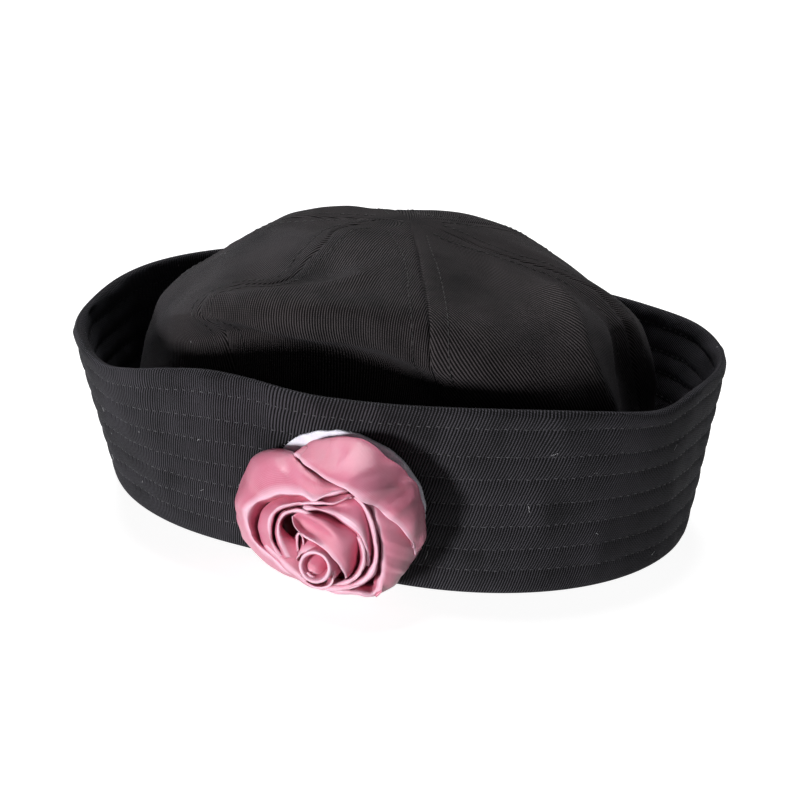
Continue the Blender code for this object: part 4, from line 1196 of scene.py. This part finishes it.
OUTER_LEFT = (
    (18, -16, 16, 20.7, -14.3, 19, 20.8, -15, 18.4, 20.4, -16.1, 17, 19.9, -16.9, 15.4, 18.2, -18.4, 12,
     15.8, -19.8, 8),
    (17.1, -19.1, 16, 20.3, -17.2, 19.4, 20.4, -18, 18.8, 20.2, -19.2, 17.4, 19.6, -20, 15.6,
     17.8, -21.3, 12, 15.1, -22.6, 8),
    (16.8, -20.6, 16, 19.6, -19.9, 19.6, 19.9, -20.8, 19, 19.5, -22, 17.4, 18.9, -22.7, 15.8,
     16.9, -23.9, 12, 14, -24.7, 8),
    (16, -21, 16.4, 18.5, -21.6, 20, 18.6, -22.4, 19.4, 18.2, -23.5, 17.8, 17.7, -24.2, 16, 15.8, -25.2, 12,
     13.2, -25.6, 8),
    (14.6, -21, 17.4, 16.8, -21.8, 20.8, 16.6, -22.7, 20.2, 16.2, -23.8, 18.6, 15.7, -24.6, 16.6,
     14, -25.7, 12, 11.5, -26.3, 7.4),
    (12.8, -20.9, 18.6, 14.4, -21.2, 21.8, 14.2, -22.2, 21.2, 13.8, -23.4, 19.6, 13.3, -24.2, 17.4,
     11.6, -25.7, 12.4, 9.1, -26.9, 7),
    (10.1, -21.3, 19.6, 11.6, -20.9, 22.8, 11.4, -21.9, 22.2, 10.9, -23.2, 20.4, 10.4, -24.3, 18,
     8.8, -26.1, 12.6, 6.3, -27.6, 6.4),
    (6.7, -21.7, 20, 8.2, -21.1, 23.4, 8.1, -22, 22.8, 7.6, -23.3, 21, 7, -24.5, 18.4, 5.7, -26.4, 13,
     3.2, -28.3, 6),
    (2.7, -22.1, 20, 4.4, -21.4, 23.8, 4.3, -22.3, 23.2, 3.7, -23.6, 21.4, 3.1, -25, 18.6, 1.7, -27.1, 13,
     -1.1, -29.4, 5.4),
    (-1.4, -22.3, 20, 0.5, -21.4, 24, 0.2, -22.3, 23.4, -0.3, -23.6, 21.6, -1, -25.2, 18.6, -2.6, -27.3, 13,
     -5.3, -29.9, 5),
    (-4.4, -21.3, 20, -3.2, -20.9, 24, -3.4, -21.8, 23.4, -4, -23.2, 21.6, -4.7, -24.8, 18.6,
     -6.4, -27.1, 13, -9.1, -30, 4.6),
    (-7.2, -19.6, 20, -6.5, -19.3, 24, -7, -20.6, 23.2, -7.7, -22.5, 21.2, -8.5, -24.3, 18.4,
     -10, -26.5, 13, -13, -29.7, 4),
    (-10.1, -17.8, 20, -9.7, -17.6, 24, -10.5, -19, 23.2, -11.6, -21.5, 21, -12.5, -23.5, 18,
     -14, -25.6, 13, -16.7, -29, 4),
    (-13.4, -15.7, 20, -13.4, -15.6, 24, -14.3, -17.2, 23.2, -15.9, -20.2, 20.8, -17.1, -22.6, 17.6,
     -18.6, -24.5, 13, -21.2, -27.9, 3.6),
    (-16.4, -14.1, 19, -16.3, -13.4, 24, -17.5, -15.2, 23.2, -19.3, -18.6, 20.6, -20.9, -21.2, 17.4,
     -22.3, -22.9, 13, -25, -26.6, 3.4),
    (-19.1, -13, 18, -18.7, -11.9, 24, -20, -13.7, 23.2, -22.1, -17, 20.4, -23.9, -19.5, 17,
     -25.2, -21.1, 13, -27.7, -25.2, 3),
    (-21.6, -12.1, 17, -21.1, -10.3, 24, -22.4, -11.9, 23.2, -25.1, -14.9, 20.2, -27.1, -17.4, 16.6,
     -28.3, -18.8, 13, -31, -22.9, 3),
    (-23.2, -11.1, 16, -22.9, -8.2, 24, -24.8, -9.6, 23.2, -27.9, -12.3, 20, -30.5, -14.8, 16,
     -31.4, -16, 12.6, -33.7, -19.9, 2.6),
    (-24, -8.9, 15.6, -24.2, -5.5, 24, -26.1, -6.5, 23.2, -29.5, -8.8, 20, -32.3, -11, 15.8,
     -33.4, -12.2, 12.4, -35.7, -16.3, 2.4),
    (-24.5, -6.6, 15.4, -25.1, -2.5, 24, -27, -3.1, 23.2, -30.5, -4.8, 20, -33.5, -7, 15.4,
     -34.8, -8.1, 11.6, -36.8, -12.1, 2.2),
    (-24.3, -3.9, 15.6, -25.2, 0.6, 24.2, -27, 0.4, 23.4, -30.6, -0.7, 20, -33.9, -2.7, 15, -35.3, -3.3, 11,
     -37.2, -7.3, 2.2),
    (-23.5, -1.3, 16, -24.1, 3.5, 24.6, -25.9, 3.8, 23.8, -29.9, 3.3, 20, -33.4, 1.7, 14.6, -35.3, 1.1, 10,
     -36.9, -2.8, 2),
    (-21.7, 1.4, 17, -21.9, 5.9, 25, -23.8, 6.8, 24.2, -28.4, 6.8, 20, -32.6, 5.6, 14, -34.5, 5.1, 9.4,
     -35.8, 1.6, 2),
    (-19.4, 3.6, 18, -19.3, 7.9, 25.4, -21.5, 9.1, 24.4, -26.4, 10.1, 20, -30.8, 9.6, 13.6, -32.8, 9.3, 8.8,
     -34, 6.2, 2),
    (-16.9, 5.5, 19, -16.2, 9.9, 25.8, -18.7, 11.3, 24.6, -23.8, 13.3, 20, -28.5, 13.5, 13.4,
     -30.7, 13.1, 8.2, -31.5, 10.2, 2),
    (-14.1, 7.1, 20, -13.1, 11.6, 26.2, -15.7, 13.4, 24.8, -20.7, 15.9, 20, -25.3, 16.7, 13, -27.2, 16, 7.6,
     -27.4, 12.9, 2),
    (-11.6, 7.8, 20, -9.7, 13, 26.6, -11.6, 15, 25.2, -16, 18.1, 20.4, -20.7, 18.8, 13, -23.2, 17.7, 7.4,
     -23.3, 15.1, 2.2),
    (-8.8, 8.4, 20, -6.1, 14, 27.2, -7.7, 15.9, 25.6, -11.5, 18.6, 21, -16, 19.5, 14, -18.7, 18.5, 8.4,
     -19.6, 15.6, 2.4),
    (-6.3, 8.5, 20, -3, 14.6, 27.8, -4.2, 16.1, 26.2, -6.7, 19.3, 23, -10.5, 20.4, 16.8, -14.4, 18.1, 9,
     -16.6, 15.3, 2.6),
    (-4.1, 8.4, 20.6, -0.7, 14.4, 28.4, -1.3, 15.7, 27, -2.5, 19.1, 25, -5.7, 20.2, 19.6, -10.5, 17.2, 10,
     -13.5, 14.6, 3),
    (-2, 8.3, 21, 1.5, 14, 28.8, 1.4, 15.5, 27.8, 1.4, 18.6, 26.4, -0.5, 20.2, 22.6, -6.2, 16.1, 11,
     -9.8, 13.2, 3),
    (-0.2, 9.4, 21, 3.2, 15.1, 28.6, 3.4, 16.1, 27.7, 4.3, 18.5, 26.8, 3.7, 19.8, 24.4, -2.2, 15.2, 12,
     -6.6, 12, 3),
    (2.1, 10.9, 20.6, 5.5, 16.6, 28.2, 5.7, 17.2, 27.2, 6.7, 18.9, 26.8, 6.7, 19.8, 24.8, 1.1, 14.9, 12.6,
     -3.6, 11.2, 3),
    (4.5, 12.2, 20, 8, 17.8, 27.6, 8, 17.9, 26.7, 9, 19.2, 26.6, 9, 19.5, 24.6, 3.9, 14.5, 13, -1.1, 10.6, 3),
    (6.8, 13, 19, 10.3, 18.4, 26.6, 10.5, 18.6, 26.2, 11, 19.1, 25.6, 10.9, 18.8, 23.6, 6.3, 13.9, 13,
     1.5, 10, 3),
    (8.9, 13.3, 18, 12, 18, 24.8, 12, 18, 24.2, 12, 17.6, 22.8, 11.5, 16.7, 20.4, 8.4, 13.2, 13, 3.7, 9, 3),
)
OUTER_TOP = (
    (-15.9, 16.1, 6, -13.8, 19.6, 11.4, -13.3, 19.4, 10.6, -13.4, 18.5, 8.4, -14.2, 17, 5, -14.5, 15.3, 2.4),
    (-10.4, 21.8, 9.4, -10.4, 21.8, 16.4, -9.7, 22.3, 15.4, -10.3, 21.8, 11.6, -12.2, 20.5, 6.6,
     -12.7, 17.6, 2.4),
    (-7, 21.8, 12.2, -7, 21.8, 19.2, -6.1, 22.8, 18, -7.4, 23.2, 12.8, -9.9, 23, 6.8, -10.1, 19.6, 2.4),
    (-3.4, 21.7, 14.8, -3.4, 21.7, 21.8, -2.4, 23.1, 20.6, -3.9, 24.2, 14, -6.8, 24.8, 6.8, -7.2, 21.4, 2.4),
    (0.6, 21.5, 17.2, 0.6, 21.5, 24.2, 1.6, 23.1, 23, 0.1, 25.1, 15.6, -3.4, 26.2, 6.6, -3.9, 22.9, 2.4),
    (4.9, 21.1, 19.4, 4.9, 21.1, 26.4, 6, 22.9, 25.2, 4.4, 25.3, 17, 0.6, 27.1, 6.6, -0.3, 23.3, 2.4),
    (9, 20.8, 20.8, 9, 20.8, 27.8, 10.2, 23, 26.4, 9.1, 26, 18.6, 5.3, 27.8, 7.4, 3.8, 23.5, 2.4),
    (12.6, 20.6, 21.2, 12.6, 20.6, 28.2, 13.9, 22.8, 26.6, 13.3, 26, 19, 10.3, 28, 8, 8.1, 22.9, 2.4),
    (14.9, 19, 20.6, 14.9, 19, 27.6, 16.6, 21.6, 25.8, 16.9, 25.2, 18.8, 14.9, 27, 8.8, 12.2, 21.2, 2.4),
    (16.6, 16.8, 19.6, 16.6, 16.8, 26.6, 18.8, 19.6, 24.6, 20, 23.3, 18.2, 18.9, 24.4, 9.2, 15.8, 18.2, 2.4),
    (18.5, 15, 18.2, 18.5, 15, 25.2, 20.8, 17.3, 23.2, 22.5, 20.6, 17.4, 22.5, 22.5, 9.4, 19.1, 15.9, 2.4),
    (20.4, 13.4, 16.6, 20.4, 13.4, 23.6, 22.6, 15.2, 21.8, 24.5, 18.1, 16.4, 25.2, 20.4, 9.4,
     21.6, 13.4, 2.4),
    (23.9, 10.3, 14.6, 23.9, 10.5, 22.6, 25.8, 12.9, 21.2, 27.1, 15.8, 15.9, 27.8, 17.9, 9.4,
     23.8, 10.5, 2.4),
    (27.1, 6.7, 12.8, 27.2, 7.4, 21, 28.8, 9.7, 19.6, 29.8, 12.7, 15.4, 29.7, 14.4, 9.4, 25.3, 7.1, 2.4),
    (29.2, 2.4, 11, 29.5, 3.4, 18.8, 31.2, 5.6, 17.8, 32, 8.6, 14.4, 31.4, 10.1, 9.4, 26.8, 2.9, 2.4),
    (30.4, -2.1, 9.6, 30.6, -1.7, 16.4, 32, 0.1, 15.6, 32.9, 3.1, 13, 32.6, 5.1, 9.6, 27.5, -2.3, 2.4),
    (31, -7.4, 8.6, 30.9, -7.1, 13.8, 31.8, -5.8, 13, 33, -2.8, 11.6, 32.7, -0.9, 9.6, 27.5, -7.5, 2.4),
)
OUTER_RIGHT = (
    (11.1, 7.8, 13, 16.4, 13.7, 22, 18.3, 14.3, 20.6, 20.5, 14.2, 15, 22.4, 13.8, 8, 19.4, 9.5, 3),
    (13.3, 6.1, 13, 19.3, 12.9, 23.4, 21.4, 13.2, 21.8, 23.9, 12.6, 15.4, 25.9, 11.4, 7.8, 23, 6.9, 3),
    (14.9, 3.3, 13, 20.7, 10.3, 24, 23.2, 10.5, 22.4, 26.7, 9.6, 15.8, 28.9, 7.8, 8, 25.6, 2.9, 3),
    (16, -0.7, 13, 21.8, 6.4, 24, 24.5, 6.1, 22.4, 28.3, 4.7, 16.2, 30.8, 3.3, 8.6, 27, -2.1, 3),
    (17, -5.2, 13, 22.7, 1.9, 24, 25.6, 1.3, 22.4, 29.3, -0.3, 16.8, 31.4, -2, 9.8, 27, -7.7, 3),
    (17.6, -9.6, 13, 23.2, -2.6, 23.8, 26.1, -3.5, 22.2, 29.3, -5.1, 17.2, 30.5, -7.5, 10.6, 25.6, -13, 3),
    (17.9, -14, 13, 23.2, -7.5, 23.2, 25.7, -8.5, 21.6, 28.2, -10.3, 17.2, 28.3, -12.6, 11.6, 23.4, -17.6, 3),
    (17.6, -17.9, 13, 22.6, -11.9, 22.2, 24.6, -12.9, 20.8, 26.3, -14.6, 17.2, 25.8, -16.6, 12.4,
     20.8, -21.6, 3),
    (16.9, -21.3, 13, 21.3, -16, 21, 22.9, -17.1, 19.8, 23.9, -18.5, 17, 23.4, -20.1, 13.4, 18.3, -24.8, 3),
    (15.8, -24.1, 13, 20.8, -19.1, 20.2, 21.3, -20.1, 19.2, 21.4, -21.4, 17, 20.9, -22.6, 14, 15.7, -27.6, 3),
    (14.7, -26.1, 13, 19.4, -21.4, 19.8, 19.4, -22.6, 18.8, 19.3, -23.7, 17, 18.7, -24.6, 14.6,
     13.5, -29.6, 3),
)
# fmt: on


# Soft folds across the outer petals: (share along the lip, width, height, slant)
LEFT_FOLDS = (
    (0.5, 1.2, 0.3, 0.1), (0.56, 1, -0.35, 0.1), (0.6, 1.2, 0.35, 0), (0.66, 2.4, -0.6, 0),
    (0.74, 2, 0.3, -0.2),
)  # fmt: skip
TOP_FOLDS = (
    (0.24, 1.6, -0.3, 0.3), (0.34, 1.8, 0.35, 0.5), (0.44, 1.1, -0.4, 0.9), (0.52, 2.4, 0.75, 0.9),
    (0.66, 1.4, -0.35, 0.3), (0.72, 1.2, 0.3, 0.3),
)  # fmt: skip
RIGHT_FOLDS = (
    (0.25, 1.6, -0.25, 0.3), (0.36, 1.3, 0.3, 0.4), (0.5, 1, -0.25, 0.3), (0.6, 1, 0.3, 0.3),
    (0.7, 1, -0.2, 0),
)  # fmt: skip


# The open strips: name, CAD node, rows, radius of the folded lip, depth of the wrinkles and their seed, and
# the soft folds
STRIPS = (
    ("bud_roll", "bud", BUD_ROLL, 0.45, 0.08, 2, ()),
    ("bud_hook", "bud", BUD_HOOK, 0.4, 0.05, 3, ()),
    ("bud_turn", "bud", BUD_TURN, 0.5, 0.1, 4, ()),
    ("bud_wrap", "bud", BUD_WRAP, 0.5, 0.1, 15, ()),
    ("small_fold", "inner_petals", SMALL_FOLD, 0.35, 0.04, 14, ()),
    ("face_petal", "inner_petals", FACE, 0.4, 0.12, 5, ()),
    ("inner_left_petal", "inner_petals", INNER_LEFT, 0.6, 0.12, 6, ()),
    ("inner_top_petal", "inner_petals", INNER_TOP, 0.6, 0.15, 7, ()),
    ("inner_right_petal", "inner_petals", INNER_RIGHT, 0.7, 0.12, 8, ()),
    ("middle_left_petal", "middle_petals", MIDDLE_LEFT, 0.6, 0.15, 9, ()),
    ("middle_right_petal", "middle_petals", MIDDLE_RIGHT, 0.95, 0.15, 10, ()),
    ("outer_left_petal", "outer_petals", OUTER_LEFT, 0.6, 0.22, 11, LEFT_FOLDS),
    ("outer_top_petal", "outer_petals", OUTER_TOP, 0.5, 0.2, 12, TOP_FOLDS),
    ("outer_right_petal", "outer_petals", OUTER_RIGHT, 1.2, 0.2, 13, RIGHT_FOLDS),
)


def make_heart(material, rings=14, stations=72):
    """The closed ground that the petals stand on, deep between them."""
    angles = np.arange(stations) * 2 * math.pi / stations
    loops = []
    for ring in range(rings):
        share = 0.02 + 0.98 * ring / (rings - 1)
        low = np.maximum(-np.sin(angles), 0)
        aside = 1 + 26 * share * np.cos(angles)
        above = -1.5 + (25.2 + 1.2 * low) * share * np.sin(angles)
        height = 15 - (10.4 - 5.4 * low) * share**3 + 0.2 * ripple(aside, above, 4, 61)
        loops.append(from_rose(np.stack([aside, above, height], -1)))
    places = np.meshgrid(np.linspace(0, 90, stations + 1), np.arange(rings) * 2.0, indexing="ij")
    made = grid_object("rose_heart", np.stack(loops, 1), np.stack(places, -1), material, (True, False))
    close_ends(made, stations, rings, (0,))
    dress(made)


def make_rose():
    pink = satin("pink_satin", (0.66, 0.172, 0.268), (0.52, 0.08, 0.145))
    make_heart(pink)
    petal("rose_bud_ring", BUD_RING, 0.7, pink, "rose_bud", 0.12, 1, closed=True)
    for name, node, rows, fold, wrinkle, seed, creases in STRIPS:
        petal("rose_" + name, rows, fold, pink, "rose_" + node, wrinkle, seed, creases=creases)


# ---- lint ----


def make_lint():
    """Loose white fibres caught on the cloth."""
    chance = np.random.default_rng(71)
    lines = []
    for _ in range(46):
        azimuth, share = chance.uniform(0, 360), chance.uniform(0.08, 0.95)
        start = brim_surface(azimuth, share)
        ahead, up, out = brim_axes(azimuth, share)
        heading, bend, long = chance.uniform(0, 2 * math.pi), chance.normal(0, 0.5), chance.uniform(1, 3.4)
        t = np.linspace(0, long, 7)
        turns = heading + bend * t
        step = long / 6
        x, y = np.cumsum(np.cos(turns)) * step, np.cumsum(np.sin(turns)) * step
        lines.append(start + out * 0.55 + x[:, None] * ahead + y[:, None] * up)
    dress(fibre_object("lint_fibres", lines, 0.09, lint_material("lint")))


# ---- room ----

# Turns the photograph's axes, with X to the right and Y away from the camera, to the cap's
FROM_VIEW = Matrix.Rotation(math.radians(-68), 3, "Z")
FLOOR_HALF = 8.0
# name, strength, spread in degrees, and where its light goes in the photograph's axes
SUNS = (
    ("key", 4, 11, (0.68, 0.73, 0.03)),
    ("top", 3.4, 30, (0.12, -0.5, -1)),
    ("floor_bounce", 0.6, 100, (-0.2, 0.65, 0.4)),
)
# The camera: film width and focal length in millimetres, distance and aim in metres, angles in degrees
FILM_WIDTH, LENS = 36, 109.85
CAMERA_DISTANCE, CAMERA_AIM = 0.9, (0.0055, 0, 0.0348)
CAMERA_DOWN, CAMERA_ROLL = 19, 3


def make_room():
    corners = [(x * FLOOR_HALF, y * FLOOR_HALF, 0) for x, y in ((-1, -1), (1, -1), (1, 1), (-1, 1))]
    mesh = bpy.data.meshes.new("floor")
    mesh.from_pydata(corners, [], [(0, 1, 2, 3)])
    mesh.materials.append(floor_material("pale_floor"))
    floor = bpy.data.objects.new("floor", mesh)
    bpy.context.scene.collection.objects.link(floor)
    floor.visible_diffuse = False
    floor.visible_shadow = False

    world = bpy.data.worlds.new("room")
    bpy.context.scene.world = world
    world.use_nodes = True
    sky = world.node_tree.nodes["Background"]
    sky.inputs[0].default_value = (0.98, 0.99, 1, 1)
    sky.inputs[1].default_value = 0.06

    for name, power, spread, toward in SUNS:
        lamp = bpy.data.lights.new(name, "SUN")
        lamp.energy = power
        lamp.angle = math.radians(spread)
        thing = bpy.data.objects.new(name, lamp)
        bpy.context.scene.collection.objects.link(thing)
        thing.matrix_world = (FROM_VIEW @ Vector(toward)).to_track_quat("-Z", "Y").to_matrix().to_4x4()


def make_camera():
    scene = bpy.context.scene
    camera = bpy.data.objects.new("camera", bpy.data.cameras.new("camera"))
    scene.collection.objects.link(camera)
    camera.data.sensor_width = FILM_WIDTH
    camera.data.lens = LENS
    camera.data.clip_start = 0.01
    down = math.radians(CAMERA_DOWN)
    aim = FROM_VIEW @ Vector(CAMERA_AIM) - Vector((*MIDDLE, 0)) * MM
    ahead = FROM_VIEW @ Vector((0, math.cos(down), -math.sin(down)))
    level = ahead.to_track_quat("-Z", "Y").to_matrix().to_4x4()
    roll = Matrix.Rotation(math.radians(CAMERA_ROLL), 4, "Z")
    camera.matrix_world = Matrix.Translation(aim - ahead * CAMERA_DISTANCE) @ level @ roll
    scene.camera = camera
    scene.view_settings.view_transform = "Standard"


make_camera()
make_room()
make_brim()
make_crown()
make_felt()
make_rose()
make_lint()
